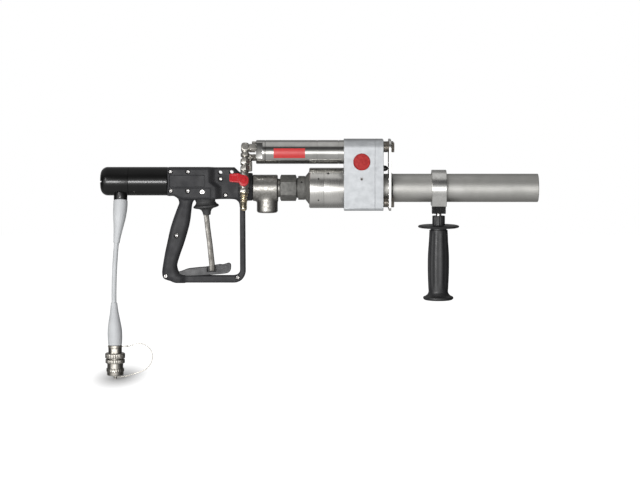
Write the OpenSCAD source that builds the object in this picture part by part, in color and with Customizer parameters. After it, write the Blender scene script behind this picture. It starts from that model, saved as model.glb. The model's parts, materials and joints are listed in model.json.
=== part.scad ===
// High-pressure water jetting gun with an air-driven rotating lance.
// Millimetres. +X points to the muzzle, +Z up, -Y is the operator's right-hand side.
// Modules are drawn in gun coordinates: X from the rear face of the stock, Y and Z from the lance axis.
// in_frame() moves a drawing so that the origin is the middle of the pistol grip.

/* [Barrel and lance] */
// Outer radius of the barrel tube
barrel_r = 25; // [24:0.5:26]
// Distance from the rear of the stock to the muzzle
muzzle_x = 785; // [760:1:820]
// Radius of the nozzle head
nozzle_r = 14; // [12:0.5:18]

/* [Stock] */
// Length of the rear cap
cap_len = 50.4; // [49:0.2:52]
// Diameter of the signal cable
cable_d = 8.8; // [8:0.2:10]

/* [Gearbox] */
// Half of the gearbox width
gearbox_half_w = 38; // [38:0.5:40]
// Thickness of the gearbox front cover
cover_t = 15; // [14.9:0.1:15.1]
// Teeth on the lance gear
lance_teeth = 38; // [38:1:38]
// Teeth on the idler gear and on the motor pinion
small_teeth = 16; // [16:1:16]

/* [Air motor] */
// Radius of the air motor
motor_r = 21.4; // [21:0.1:22]

/* [Side handle] */
// Distance from the rear of the stock to the side handle axis
handle_x = 607; // [570:1:700]
// Radius of the hand guard disc
guard_disc_r = 37.2; // [34:0.1:38]

/* [Trigger] */
// Thickness of the trigger blade
trigger_t = 8; // [7:0.5:8]
// Radius of the trigger pin
trigger_pin_r = 4.3; // [4:0.1:4.5]

/* [Hidden] */
$fn = 64;
slack = 0.05;      // radial clearance of a running or sliding fit
past = 1;          // how far a cutting tool runs past a face

// The middle of the pistol grip, which is the origin of the frame
grip_centre = [136, 0, -90];

// Stations along the gun
housing_x = 120.4;
nose_x = 273;
union_x = 337;
swivel_x = 374.2;
gearbox_x = 436.5;
cover_x = 491.8;
cover_front_x = cover_x + cover_t;
plate_x = 516.6;
plate_t = 4;
nozzle_x = 735;

stock_r = 25.6;
stock_z = 12;
tenon_r = 13.5;
lance_r = 8;
bore_r = 4;

// Gear train: lance axis, idler axis and motor axis, one above the other
gear_module = 1.5;
pressure_angle = 25;
backlash = 0.12;
gear_x = [453, 467];
idler_z = gear_module * (lance_teeth + small_teeth) / 2;
motor_z = idler_z + gear_module * small_teeth;
shaft_r = 5;
idler_shaft_r = 4;

// Gearbox ends and its fasteners, as [y, z]
gearbox_z = [-38.9, 87.5];
plate_bolts = [[-25, 74], [25, 74], [-25, -24.4], [25, -24.4]];
plate_bolt_r = 4;
cover_screws = [[-30, 52], [30, 52], [-31.5, 16], [31.5, 16]];
cover_screw_r = 2.5;

// Top of the housing, and its half widths at the stock, the front, the grip and the hand guard
housing_top = 36.6;
rear_half_w = 24.5;
front_half_w = 15;
grip_half_w = 15;
guard_half_w = 9;
channel_half_w = 6.6;

// Trigger and safety latch, as [x, z]
trigger_pivot = [183.6, -5.8];
trigger_line = [
    [184, -6], [186.2, -26], [189.5, -50.4], [192.1, -74.3], [195.3, -99.7], [197.8, -124.9],
    [199.4, -141.3], [199.3, -150.3]
];
trigger_half_w = [5, 5, 4.7, 4.6, 4.8, 5, 5.1, 5];
latch_pivot = [116.6, -158];
latch_pin_r = 3.1;
latch_half_w = 6;
strap_holes = [[215.3, 28.3], [235.4, 28.8]];
strap_hole_r = 3.5;
// Shell screws: x, z, and the distance of the screw seat from the middle plane
shell_screws = [
    [126.4, 30.2, 18], [158, 30.2, 18], [126.9, -4, 18], [157.5, -4, 18],
    [215.8, 16.6, 9.5], [224.5, -12.6, 9.5], [136.3, -85, 9.5], [245.7, -161.2, 4.5]
];
shell_screw_r = 2;
shell_head_r = 3.4;

// Air line: it leaves the elbow downwards and outwards
elbow = [258.3, -12, 72];
air_tilt = 20;
valve_s = 62.8;
exhaust = [267, 10, 54];

// The cable leaves the stock downwards and a little outwards
gland_tilt = 15;
gland_at = [36, 0, stock_z];
gland_mouth = 34.6;
gland_hole_r = 8;
// Cable centre line from the gland to the connector
cable_route = [
    [36, -9, -21.5], [36, -11.01, -29], [35.6, -13, -37], [35, -14.7, -45], [34.3, -16.4, -54],
    [33.3, -18.2, -64], [32, -19.9, -75], [30.6, -21.4, -86], [29.3, -22.7, -98], [28.2, -23.8, -111],
    [27.2, -24.7, -125], [26.2, -25.4, -140], [25.5, -26, -156], [24.9, -26.5, -172], [24.6, -26.8, -188],
    [24.6, -26.9, -204], [24.8, -27, -220], [25.1, -27, -236], [25.5, -27, -252], [25.8, -27, -267],
    [25.8, -27, -281]
];
upper_boot_end = 8;
lower_boot_start = 15;
upper_boot_radii = [12.6, 12.7, 12.5, 12, 11, 9.4, 7.8, 6.6, 5.8];
lower_boot_radii = [5.8, 7.4, 10.2, 12.6, 13, 12.2];
connector_at = [25.8, -27, -281];
// Lanyard centre line from the connector to the dust cap
lanyard_r = 0.6;
lanyard_route = [
    [38, -27, -283], [43, -27, -283], [48.5, -27, -283], [55, -27, -281.8], [61.5, -27, -279.4],
    [69, -27, -278], [77, -27, -279.4], [84, -27, -283.4], [89.5, -27, -289.4], [92.4, -27, -297],
    [92.6, -27, -305], [90.4, -27, -313], [85.8, -27, -320], [79.4, -27, -325.6], [71, -27, -329.4],
    [62, -27, -332.2], [52.5, -27, -335], [43.5, -27, -337.4], [36, -27, -338.6], [28.8, -27, -339]
];

// ---------- Outlines ----------

function unit(v) = v / norm(v);

// Points of the arc of radius r that rounds the corner b between a and c
function corner_arc(a, b, c, r) =
    let (
        u = unit(a - b),
        v = unit(c - b),
        half = acos(u * v) / 2,
        centre = b + unit(u + v) * r / sin(half),
        from = b + u * r / tan(half) - centre,
        to = b + v * r / tan(half) - centre,
        start = atan2(from[1], from[0]),
        turn = atan2(from[0] * to[1] - from[1] * to[0], from * to),
        steps = max(1, ceil(abs(turn) / 12))
    )
    [for (i = [0:steps]) centre + r * [cos(start + turn * i / steps), sin(start + turn * i / steps)]];

// An outline of [x, y, corner radius] points, with each corner rounded
function rounded(points) =
    let (n = len(points))
    [for (i = [0:n - 1])
        let (
            a = points[(i + n - 1) % n],
            b = points[i],
            c = points[(i + 1) % n]
        )
        each (b[2] == 0 ? [[b[0], b[1]]] : corner_arc([a[0], a[1]], [b[0], b[1]], [c[0], c[1]], b[2]))
    ];

// A smooth curve through the points
function smooth(points, steps = 4) =
    let (n = len(points))
    [
        for (i = [0:n - 2])
            let (
                a = points[max(i - 1, 0)],
                b = points[i],
                c = points[i + 1],
                d = points[min(i + 2, n - 1)]
            )
            for (k = [0:steps - 1])
                let (t = k / steps)
                (2 * b + (c - a) * t + (2 * a - 5 * b + 4 * c - d) * t * t
                 + (3 * b - a - 3 * c + d) * t * t * t) / 2,
        points[n - 1]
    ];

// A strip that follows a line, with its own half width at each point
function ribbon(line, half_w, grow = 0) =
    let (
        n = len(line),
        side = [for (i = [0:n - 1])
            let (t = unit(line[min(i + 1, n - 1)] - line[max(i - 1, 0)]))
            [-t[1], t[0]] * (half_w[i] + grow)]
    )
    concat(
        smooth([for (i = [0:n - 1]) line[i] + side[i]]),
        smooth([for (i = [n - 1:-1:0]) line[i] - side[i]])
    );

// ---------- Placing ----------

module in_frame() {
    translate(-grip_centre) children();
}

// A flat outline in the XZ plane, thickened from y0 to y1
module side_plate(y0, y1) {
    translate([0, y1, 0]) rotate([90, 0, 0]) linear_extrude(y1 - y0) children();
}

// A flat outline in the YZ plane, thickened from x0 to x1
module cross_plate(x0, x1) {
    translate([x0, 0, 0]) rotate([90, 0, 90]) linear_extrude(x1 - x0) children();
}

module rod_x(x0, x1, r, y = 0, z = 0) {
    translate([x0, y, z]) rotate([0, 90, 0]) cylinder(h = x1 - x0, r = r);
}

module rod_y(y0, y1, r, x, z) {
    translate([x, y1, z]) rotate([90, 0, 0]) cylinder(h = y1 - y0, r = r);
}

// A body turned about X, from [x, radius] points
module turned_x(profile, y = 0, z = 0) {
    translate([0, y, z]) rotate([0, 90, 0]) rotate_extrude() polygon([for (p = profile) [p[1], p[0]]]);
}

// A body turned about the vertical, from [radius, z] points
module turned_z(profile, at = [0, 0, 0]) {
    translate(at) rotate_extrude() polygon(profile);
}

// A hexagonal bar along X, given across flats, with a flat facing sideways
module hex_x(x0, x1, flats, y = 0, z = 0) {
    translate([x0, y, z]) rotate([0, 90, 0]) cylinder(h = x1 - x0, r = flats / sqrt(3), $fn = 6);
}

// Stands a drawing on the air line: its Z runs down the line from the elbow, its +Y faces outwards
module on_air_line(s = 0) {
    translate(elbow) rotate([180 - air_tilt, 0, 0]) translate([0, 0, s]) children();
}

// Stands a drawing on the gland's axis, its Z running out of the stock
module on_gland(s = 0) {
    translate(gland_at) rotate([180 - gland_tilt, 0, 0]) translate([0, 0, s]) children();
}

// A tube along part of a route that is never parallel to Y
module swept_tube(route, first, last, radii, sides) {
    n = len(route);
    rings = [for (i = [first:last])
        let (
            t = unit(route[min(i + 1, n - 1)] - route[max(i - 1, 0)]),
            u = unit(cross(t, [0, 1, 0])),
            v = cross(t, u)
        )
        for (k = [0:sides - 1])
            route[i] + radii[i - first] * (u * cos(360 * k / sides) + v * sin(360 * k / sides))
    ];
    tube_mesh(rings, last - first + 1, sides);
}

// A closed skin over a row of rings
module tube_mesh(rings, count, sides) {
    walls = [for (i = [0:count - 2], k = [0:sides - 1])
        let (a = i * sides + k, b = i * sides + (k + 1) % sides)
        each [[a, b + sides, a + sides], [a, b, b + sides]]
    ];
    first = [for (k = [sides - 1:-1:0]) k];
    last = [for (k = [0:sides - 1]) (count - 1) * sides + k];
    polyhedron(rings, concat(walls, [first, last]));
}

// A coil spring along Z
module coil_spring(radius, wire_r, turns, height) {
    per_turn = 12;
    sides = 6;
    count = turns * per_turn + 1;
    rings = [for (i = [0:count - 1])
        let (a = 360 * i / per_turn, radial = [cos(a), sin(a), 0])
        for (k = [0:sides - 1])
            radius * radial + [0, 0, wire_r + (height - 2 * wire_r) * i / (count - 1)]
            + wire_r * (radial * cos(360 * k / sides) - [0, 0, 1] * sin(360 * k / sides))
    ];
    tube_mesh(rings, count, sides);
}

// ---------- Gears ----------

function involute(angle) = tan(angle) * 180 / PI - angle;

// Half the angle that a tooth spans at radius r
function tooth_angle(r, teeth) =
    let (pitch_r = gear_module * teeth / 2, base_r = pitch_r * cos(pressure_angle))
    90 / teeth - backlash / 2 / pitch_r * 180 / PI + involute(pressure_angle)
    - involute(acos(min(1, base_r / r)));

// Outline of a spur gear with a tooth centred on +Z
function gear_outline(teeth) =
    let (
        pitch_r = gear_module * teeth / 2,
        tip_r = pitch_r + 0.9 * gear_module,
        root_r = pitch_r - 1.2 * gear_module,
        foot_r = max(pitch_r * cos(pressure_angle), root_r + 0.1),
        flank = [for (i = [0:4]) foot_r + (tip_r - foot_r) * i / 4],
        half = concat([[root_r, tooth_angle(foot_r, teeth)]], [for (r = flank) [r, tooth_angle(r, teeth)]])
    )
    [for (t = [0:teeth - 1])
        let (mid = 90 + 360 * t / teeth)
        each concat(
            [for (i = [0:5]) half[i][0] * [cos(mid - half[i][1]), sin(mid - half[i][1])]],
            [for (i = [5:-1:0]) half[i][0] * [cos(mid + half[i][1]), sin(mid + half[i][1])]]
        )
    ];

module gear(teeth, hole_r, turn, z) {
    translate([0, 0, z]) difference() {
        cross_plate(gear_x[0], gear_x[1]) rotate(turn) polygon(gear_outline(teeth));
        rod_x(gear_x[0] - past, gear_x[1] + past, hole_r);
    }
}

// ---------- Stock, cable and connector ----------

module stock_rear_cap() {
    edge_r = 13;
    bore = stock_r - 7;
    bottom_x = 12;
    spigot_x = 68;
    slot_w = 3;
    slot_depth = 3;
    color("#1c1c1e") difference() {
        turned_x(concat(
            [[0, 0]],
            [for (a = [90:-10:0]) [edge_r * (1 - sin(a)), stock_r - edge_r + edge_r * cos(a)]],
            [
                [cap_len, stock_r], [cap_len, 22 - slack], [spigot_x, 22 - slack],
                [spigot_x, bore], [bottom_x, bore], [bottom_x, 0]
            ]
        ), z = stock_z);
        translate([-past, -stock_r, stock_z - slot_w / 2]) cube([slot_depth + past, 2 * stock_r, slot_w]);
        on_gland(12) cylinder(h = 30, r = gland_hole_r);
        stock_screw_axis() cylinder(h = stock_r, r = shell_screw_r);
    }
}

// The axis of the grub screw that locks the rear cap
module stock_screw_axis() {
    translate([60.8, 0, stock_z]) rotate([135, 0, 0]) children();
}

module stock_tube() {
    rear_wall_x = housing_x - 5;
    tenon_x = 148;
    color("#222224") difference() {
        turned_x([
            [cap_len, 22], [cap_len, stock_r], [housing_x, stock_r], [housing_x, tenon_r],
            [tenon_x, tenon_r], [tenon_x, 9], [rear_wall_x, 9], [rear_wall_x, 22]
        ], z = stock_z);
        stock_screw_axis() cylinder(h = stock_r + past, r = shell_screw_r);
    }
}

module cable_gland() {
    stem_s = [18.2, 27.5];
    color("#141414") difference() {
        union() {
            difference() {
                on_gland(18.2) cylinder(h = gland_mouth - 18.2, r = 12.2);
                rod_x(0, 80, stock_r, z = stock_z);
            }
            on_gland(stem_s[0]) cylinder(h = stem_s[1] - stem_s[0], r = gland_hole_r);
        }
        on_gland(10) cylinder(h = 30, r = cable_d / 2);
    }
}

module cable_upper_boot() {
    color("#b9bbbd") swept_tube(cable_route, 0, upper_boot_end, upper_boot_radii, 24);
}

module cable() {
    radii = [for (i = [upper_boot_end:lower_boot_start]) cable_d / 2];
    color("#c4c6c8") swept_tube(cable_route, upper_boot_end, lower_boot_start, radii, 12);
}

module cable_lower_boot() {
    color("#b9bbbd") swept_tube(cable_route, lower_boot_start, len(cable_route) - 1, lower_boot_radii, 24);
}

module connector_shell() {
    color("#c9c6c0") turned_z([
        [0, 0], [12.2, 0], [12.2, -17], [13, -17], [13, -32.7], [14.3, -32.7],
        [14.3, -46], [11, -46], [11, -30], [0, -30]
    ], connector_at);
}

module connector_insert() {
    color("#30302e") translate(connector_at) {
        translate([0, 0, -38]) cylinder(h = 8, r = 11);
        for (a = [0:60:300]) rotate(a) translate([6.5, 0, -43]) cylinder(h = 5, r = 1);
    }
}

module connector_ring() {
    color("#bdb9b0") turned_z([
        [12.2 + slack, -14], [17, -14], [18, -15], [18, -23], [16.2, -24], [16.2, -24.6], [17.5, -25.5],
        [17.5, -31.8], [16.7, -32.6], [13 + slack, -32.6], [13 + slack, -16.9], [12.2 + slack, -16.9]
    ], connector_at);
}

module dust_cap() {
    post_r = 3;
    color("#c9c6c0") turned_z([
        [14.3 + slack, -41.6], [16, -41.6], [16, -47.2], [15, -47.2], [15, -53.4],
        [14.4, -54], [post_r, -54], [post_r, -60.6], [0, -60.6], [0, -47], [14.3 + slack, -47]
    ], connector_at);
}

module lanyard() {
    last = len(lanyard_route) - 1;
    color("#b8b4aa") swept_tube(lanyard_route, 0, last, [for (i = [0:last]) lanyard_r], 8);
}

// ---------- Grip housing ----------

function grip_outline() = concat(
    smooth([
        [122, 0], [122, -12.9], [130, -13.3], [138.2, -18.7], [140.8, -26.5], [138.2, -34],
        [130.7, -54.2], [124.4, -74.3], [119.2, -97.2], [114.8, -117.4], [110.3, -143.8], [109.6, -154.5],
        [112.4, -163], [120.5, -166.6]
    ]),
    [[134.5, -170.6], [150, -170.6], [150, -157.3]],
    smooth([
        [147.1, -157.1], [140.2, -152.5], [136.8, -144], [137, -136], [142, -119.9], [148.3, -102.2],
        [154.6, -81.9], [159.7, -61.7], [162.2, -42.8], [163.6, -32], [165.6, -25], [170, -19.6]
    ]),
    [[170, 0]]
);

// The guard runs from the grip's foot, forwards and up to the nose
function guard_outline() = rounded([
    [128, -168.8, 0], [134.5, -170.6, 8], [260, -170.6, 21], [259.2, -10, 0], [249.8, -10, 0],
    [249.8, -157.3, 10], [128, -157.3, 0]
]);

// Space around the trigger's hub
function trigger_chamber() = rounded([
    [174, -22, 0], [168, -17.5, 0], [168, 14, 3], [208, 14, 1], [208, -17.5, 0], [204, -22, 0]
]);

// Space that the safety latch needs from rest to fully pressed
function latch_channel() = rounded([
    [111.2, -154.6, 2], [112.6, -163.2, 2], [125, -163.4, 0], [150, -166, 0], [239, -166, 3],
    [239, -150, 0], [147, -148, 0], [118, -150.8, 2]
]);

module housing_body() {
    nose_r = 25;
    side_plate(-rear_half_w, rear_half_w) polygon(rounded([
        [housing_x, housing_top, 1], [208, housing_top, 0], [196, 12, 0], [202, -19.4, 0], [150, -19.4, 0],
        [133, -13, 0], [housing_x, -13, 1]
    ]));
    side_plate(-front_half_w, front_half_w) polygon(rounded([
        [190, housing_top, 0], [240, housing_top, 4], [252.5, 24.5, 4], [256, 10, 0], [256, -19.4, 0], [190, -19.4, 0]
    ]));
    rod_x(250, nose_x, nose_r, z = 2);
    side_plate(-grip_half_w, grip_half_w) polygon(grip_outline());
    side_plate(-guard_half_w, guard_half_w) {
        polygon(guard_outline());
        guard_fillet(236.5, 13.3, 1);
        guard_fillet(272.4, 13.3, -1);
    }
}

// The curved corner between the nose and the guard post
module guard_fillet(x, r, way) {
    difference() {
        translate([way > 0 ? x : x - r, -19.4 - r]) square([r, r + 1]);
        translate([x, -19.4 - r]) circle(r);
    }
}

module housing_spaces() {
    rod_x(housing_x - past, 148, tenon_r, z = stock_z);
    rod_x(147, 170, 6, z = 5);
    rod_x(262, nose_x + past, 10);
    side_plate(-channel_half_w, channel_half_w) {
        polygon(trigger_chamber());
        polygon(latch_channel());
    }
    rod_y(-rear_half_w - past, rear_half_w + past, trigger_pin_r, trigger_pivot[0], trigger_pivot[1]);
    rod_y(-rear_half_w - past, rear_half_w + past, latch_pin_r, latch_pivot[0], latch_pivot[1]);
    for (h = strap_holes) rod_y(-rear_half_w, rear_half_w, strap_hole_r, h[0], h[1]);
    for (s = [-1, 1]) translate([156, s * rear_half_w, 13.5]) cube([64, 1.6, 21], center = true);
}

module grip_shell_right() {
    color("#3b3b3d") difference() {
        intersection() {
            housing_body();
            translate([100, -40, -200]) cube([200, 40, 300]);
        }
        housing_spaces();
        for (s = shell_screws) {
            rod_y(-40, -s[2], shell_head_r + 0.2, s[0], s[1]);
            rod_y(-40, past, shell_screw_r + 0.1, s[0], s[1]);
        }
    }
}

module grip_shell_left() {
    color("#3b3b3d") difference() {
        intersection() {
            housing_body();
            translate([100, 0, -200]) cube([200, 40, 300]);
        }
        housing_spaces();
        for (s = shell_screws) rod_y(-past, s[2] / 2, shell_screw_r, s[0], s[1]);
    }
}

// Socket head screws of the grip shells, and the stock's grub screw
module housing_screws() {
    color("#a8a8a8") {
        for (s = shell_screws) {
            difference() {
                rod_y(-s[2] - 3.5, -s[2], shell_head_r, s[0], s[1]);
                rod_y(-s[2] - 4, -s[2] - 1.5, 1.6, s[0], s[1]);
            }
            rod_y(-s[2], s[2] / 2, shell_screw_r, s[0], s[1]);
        }
        stock_screw_axis() translate([0, 0, stock_r - 6]) cylinder(h = 5.4, r = shell_screw_r);
    }
}

// ---------- Trigger ----------

module trigger() {
    hub_r = 8.5;
    color("#b4aea6") difference() {
        side_plate(-trigger_t / 2, trigger_t / 2) {
            polygon(ribbon(trigger_line, trigger_half_w));
            translate(trigger_pivot) circle(hub_r);
            polygon(rounded([[178.5, -4, 0], [180.5, 9, 3], [190.5, 9, 3], [191.5, -4, 0]]));
        }
        rod_y(-10, 10, trigger_pin_r + slack, trigger_pivot[0], trigger_pivot[1]);
    }
}

module trigger_pin() {
    color("#d0d0cc") rod_y(-rear_half_w + 0.4, rear_half_w - 0.4, trigger_pin_r,
        trigger_pivot[0], trigger_pivot[1]);
}

// Proximity switch that feels the trigger's upper lobe
module trigger_sensor() {
    color("#28303a") translate([198, -6, 1]) cube([10, 12, 11]);
}

module trigger_boot() {
    top_z = -19.4;
    flat_half_w = 17;
    color("#232323") difference() {
        intersection() {
            turned_z([
                [0, top_z], [19, top_z], [18, -25], [22.6, -31], [23, -33.4], [21, -35],
                [14, -36.5], [9.5, -39.5], [7.4, -44], [6.8, -49], [0, -49]
            ], [190, 0, 0]);
            translate([160, -flat_half_w, -60]) cube([60, 2 * flat_half_w, 60]);
        }
        side_plate(-trigger_t / 2 - slack, trigger_t / 2 + slack)
            polygon(ribbon(trigger_line, trigger_half_w, slack));
        translate([190, 0, -30]) cylinder(h = 12, r = 12);
    }
}

module trigger_spring() {
    color("#b0b0b0") translate([168, 0, -12.5]) rotate([0, 90, 0]) coil_spring(3.4, 0.5, 5, 7.6);
}

function latch_outline() = concat(
    smooth([
        [116.6, -153.4], [128, -152.6], [141, -150.8], [150, -147.6], [158, -145.1], [175, -143.1],
        [190.8, -142]
    ]),
    [[190.8, -150.7], [207.9, -150.7]],
    smooth([[208.4, -138.4], [213, -137.6], [219, -138], [225, -136.3], [229.7, -135.2], [233, -137.2]]),
    smooth([[233.6, -140], [233, -147.5], [230.2, -151.4], [224, -154], [201, -156.2], [150, -160.2]]),
    [[116.6, -162.6]]
);

module safety_latch() {
    color("#2c2c2e") difference() {
        union() {
            side_plate(-latch_half_w, latch_half_w) {
                polygon(latch_outline());
                translate(latch_pivot) circle(4.6);
            }
            side_plate(trigger_t / 2 + 0.6, latch_half_w)
                polygon([[190, -142], [190, -151], [209, -151], [208.4, -138.4]]);
        }
        rod_y(-10, 10, latch_pin_r + slack, latch_pivot[0], latch_pivot[1]);
        translate([160, -trigger_t / 2 - 0.6, -153.2]) cube([48, trigger_t + 1.2, 20]);
    }
}

module latch_pin() {
    color("#d0d0cc") rod_y(-grip_half_w + 0.4, grip_half_w - 0.4, latch_pin_r, latch_pivot[0], latch_pivot[1]);
}

module latch_spring() {
    color("#b0b0b0") translate([152, 0, -166]) coil_spring(3, 0.45, 4, 5.6);
}

// ---------- Water line ----------

module water_block() {
    block_x = 317.9;
    port = [299, 0, 0];
    color("#a9a49c") difference() {
        union() {
            turned_x([
                [262, 0], [262, 10], [nose_x, 10], [nose_x, 21.6], [nose_x + 2, 23.6],
                [block_x - 2, 23.6], [block_x, 21.6], [block_x, 16.6], [block_x + 4.3, 16.6],
                [block_x + 4.3, 14], [union_x, 14], [union_x, 0]
            ]);
            turned_z([[0, 0], [18.8, 0], [18.8, -39.5], [14.5, -44.5], [0, -44.5]], port);
        }
        translate(port) translate([0, 0, -45.5]) cylinder(h = 26, r = 11);
        translate(port) translate([0, 0, -20]) cylinder(h = 22, r = bore_r + 1);
        rod_x(port[0], union_x + past, bore_r);
    }
}

module union_nut() {
    nut_x = [322.2, 351.7];
    color("#4c4a48") difference() {
        intersection() {
            hex_x(nut_x[0], nut_x[1], 41);
            turned_x([
                [nut_x[0], 0], [nut_x[0], 21], [nut_x[0] + 1.6, 23.8], [nut_x[1] - 1.6, 23.8],
                [nut_x[1], 21], [nut_x[1], 0]
            ]);
        }
        rod_x(nut_x[0] - past, 347, 14);
        rod_x(340, nut_x[1] + past, 11.5);
    }
}

module packing_gland() {
    color("#54524e") difference() {
        turned_x([
            [union_x, bore_r], [union_x, 14], [347, 14], [347, 11.5], [354.4, 11.5], [354.4, 20.7],
            [355.2, 21.5], [366.2, 21.5], [367, 20.7], [swivel_x, 29], [swivel_x, 12], [356, 12],
            [356, bore_r]
        ]);
        for (a = [0:90:270]) rotate([a + 58, 0, 0]) translate([361, 0, 13]) cylinder(h = 10, r = 1.8);
    }
}

module seal_rings() {
    color("#d8d2b8") for (x = [359, 364.5, 370]) difference() {
        rod_x(x, x + 4, 12);
        rod_x(x - past, x + 4 + past, lance_r + slack);
    }
}

module swivel_housing() {
    // Weep holes: x, angle above the horizontal on the right-hand side, radius
    weep_holes = [[408.4, 49, 2.2], [391, 30, 1.5], [391, -34, 1.5]];
    color("#b5b1aa") difference() {
        turned_x([
            [swivel_x, 9], [swivel_x, 34.2], [swivel_x + 2, 36.2], [gearbox_x, 36.2],
            [gearbox_x, 22], [384, 22], [384, 9]
        ]);
        for (h = weep_holes) translate([h[0], 0, 0]) rotate([90 - h[1], 0, 0])
            translate([0, 0, 20]) cylinder(h = 20, r = h[2]);
    }
}

// ---------- Lance ----------

bearing_xs = [386, 424];
bearing_w = 10;
ball_path_r = 15;
ball_r = 2.95;

module bearing_ring(x, inner_r, outer_r) {
    difference() {
        rod_x(x, x + bearing_w, outer_r);
        rod_x(x - past, x + bearing_w + past, inner_r);
    }
}

module bearing_outer_rings() {
    color("#c8c8c8") for (x = bearing_xs) bearing_ring(x, 18, 22);
}

module bearing_inner_rings() {
    color("#c8c8c8") for (x = bearing_xs) bearing_ring(x, lance_r, 12);
}

module bearing_balls() {
    color("#e0e0e0") for (x = bearing_xs, a = [0:36:324])
        rotate([a, 0, 0]) translate([x + bearing_w / 2, 0, ball_path_r]) sphere(ball_r);
}

module lance_tube() {
    color("#b8b6b2") difference() {
        rod_x(357, nozzle_x - 35, lance_r);
        rod_x(356, nozzle_x, 3);
    }
}

module lance_gear() {
    color("#8c8f92") gear(lance_teeth, lance_r, 0, 0);
}

module nozzle_head() {
    color("#8e8c88") difference() {
        turned_x([
            [nozzle_x - 45, 0], [nozzle_x - 45, 11], [nozzle_x - 38, nozzle_r],
            [nozzle_x - 3, nozzle_r], [nozzle_x, nozzle_r - 3], [nozzle_x, 0]
        ]);
        rod_x(nozzle_x - 46, nozzle_x - 35, lance_r);
        rod_x(nozzle_x - 36, nozzle_x - 12, 6);
        for (a = [45:90:315]) rotate([a, 0, 0]) rod_x(nozzle_x - 14, nozzle_x + past, 2.4, z = 6);
    }
}

module nozzle_inserts() {
    color("#d9c27a") for (a = [45:90:315]) rotate([a, 0, 0]) difference() {
        rod_x(nozzle_x - 6, nozzle_x - 1, 2.4, z = 6);
        rod_x(nozzle_x - 7, nozzle_x, 0.6, z = 6);
    }
}

module lance_guide() {
    color("#d8d6cc") difference() {
        rod_x(640, 652, barrel_r - 3);
        rod_x(639, 653, lance_r + slack);
        for (a = [0:60:300]) rotate([a, 0, 0]) rod_x(639, 653, 4, z = 15);
    }
}

// ---------- Gearbox ----------

module gearbox_section() {
    polygon(rounded([
        [-gearbox_half_w, gearbox_z[0], 6], [gearbox_half_w, gearbox_z[0], 6],
        [gearbox_half_w, gearbox_z[1], 15], [-gearbox_half_w, gearbox_z[1], 15]
    ]));
}

module gearbox_body() {
    rear_wall = 8.5;
    color("#a9adb2") difference() {
        cross_plate(gearbox_x, cover_x) gearbox_section();
        rod_x(gearbox_x + rear_wall, cover_x + past, 31);
        rod_x(gearbox_x + rear_wall, cover_x + past, 14.5, z = idler_z);
        rod_x(gearbox_x + rear_wall, cover_x + past, 14.5, z = motor_z);
        rod_x(gearbox_x - past, cover_x, 9);
        rod_x(gearbox_x - past, cover_x, 12, z = motor_z);
        rod_x(gearbox_x + 2, cover_x, idler_shaft_r, z = idler_z);
        for (s = cover_screws) rod_x(478, cover_x + past, cover_screw_r, s[0], s[1]);
        rod_y(-gearbox_half_w - past, -30, 2.4, 468, 18.1);
    }
}

module gearbox_cover() {
    color("#a4a8ad") difference() {
        cross_plate(cover_x, cover_front_x) gearbox_section();
        rod_x(cover_x - past, cover_front_x + past, 9);
        rod_x(cover_x - past, 500, idler_shaft_r, z = idler_z);
        rod_x(cover_x - past, 500, shaft_r + 0.5, z = motor_z);
        for (s = cover_screws) {
            rod_x(cover_x - past, cover_front_x + past, cover_screw_r, s[0], s[1]);
            rod_x(cover_front_x - 5, cover_front_x + past, 4.4, s[0], s[1]);
        }
        for (b = plate_bolts) rod_x(cover_x + 2, cover_front_x + past, plate_bolt_r, b[0], b[1]);
    }
}

// Hexagon bolts of the flange plate and socket head screws of the cover
module gearbox_fasteners() {
    color("#6b6a66") {
        for (b = plate_bolts) {
            hex_x(plate_x + plate_t, plate_x + plate_t + 5.4, 17.3, b[0], b[1]);
            rod_x(cover_x + 2, plate_x + plate_t, plate_bolt_r, b[0], b[1]);
        }
        for (s = cover_screws) {
            rod_x(478, cover_front_x - 5, cover_screw_r, s[0], s[1]);
            rod_x(cover_front_x - 5, cover_front_x - 0.4, 4.2, s[0], s[1]);
        }
    }
}

module standoffs() {
    color("#5b5751") for (b = plate_bolts) difference() {
        rod_x(cover_front_x, plate_x, 8.8, b[0], b[1]);
        rod_x(cover_front_x - past, plate_x + past, plate_bolt_r, b[0], b[1]);
    }
}

module grease_nipple() {
    color("#1a1a1a") turned_x([
        [cover_front_x, 0], [cover_front_x, 5.4], [510.5, 5.4], [514, 4], [515.5, 1.6], [515.5, 0]
    ], -15, 36);
}

module badge() {
    color("#c01a24") rod_y(-gearbox_half_w - 1.2, -gearbox_half_w, 15, 468, 48.5);
}

module idler_gear() {
    color("#8c8f92") gear(small_teeth, idler_shaft_r + slack, 180 / small_teeth, idler_z);
}

module idler_shaft() {
    color("#b0b0b0") rod_x(gearbox_x + 2, 500, idler_shaft_r, z = idler_z);
}

// ---------- Air motor ----------

motor_cap_x = 279.2;
motor_body_x = 295.7;
motor_front_x = 388.6;
port_end_x = 285.5;
stub_end_x = 285;
rotor_r = 12.5;

module motor_rear_cap() {
    color("#b6b4ae") difference() {
        turned_x([
            [motor_cap_x, 0], [motor_cap_x, motor_r - 0.8], [motor_cap_x + 0.8, motor_r],
            [motor_body_x, motor_r], [motor_body_x, 0]
        ], z = motor_z);
        rod_x(287, motor_body_x + past, shaft_r + slack, z = motor_z);
        rod_x(motor_cap_x - past, port_end_x, 4.5, elbow[1], elbow[2]);
        rod_x(motor_cap_x - past, port_end_x, 4.3, exhaust[1], exhaust[2]);
    }
}

module motor_cylinder() {
    color("#b6b4ae") difference() {
        rod_x(motor_body_x, motor_front_x, motor_r, z = motor_z);
        rod_x(motor_body_x - past, motor_front_x + past, 15, z = motor_z + 2);
    }
}

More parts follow.
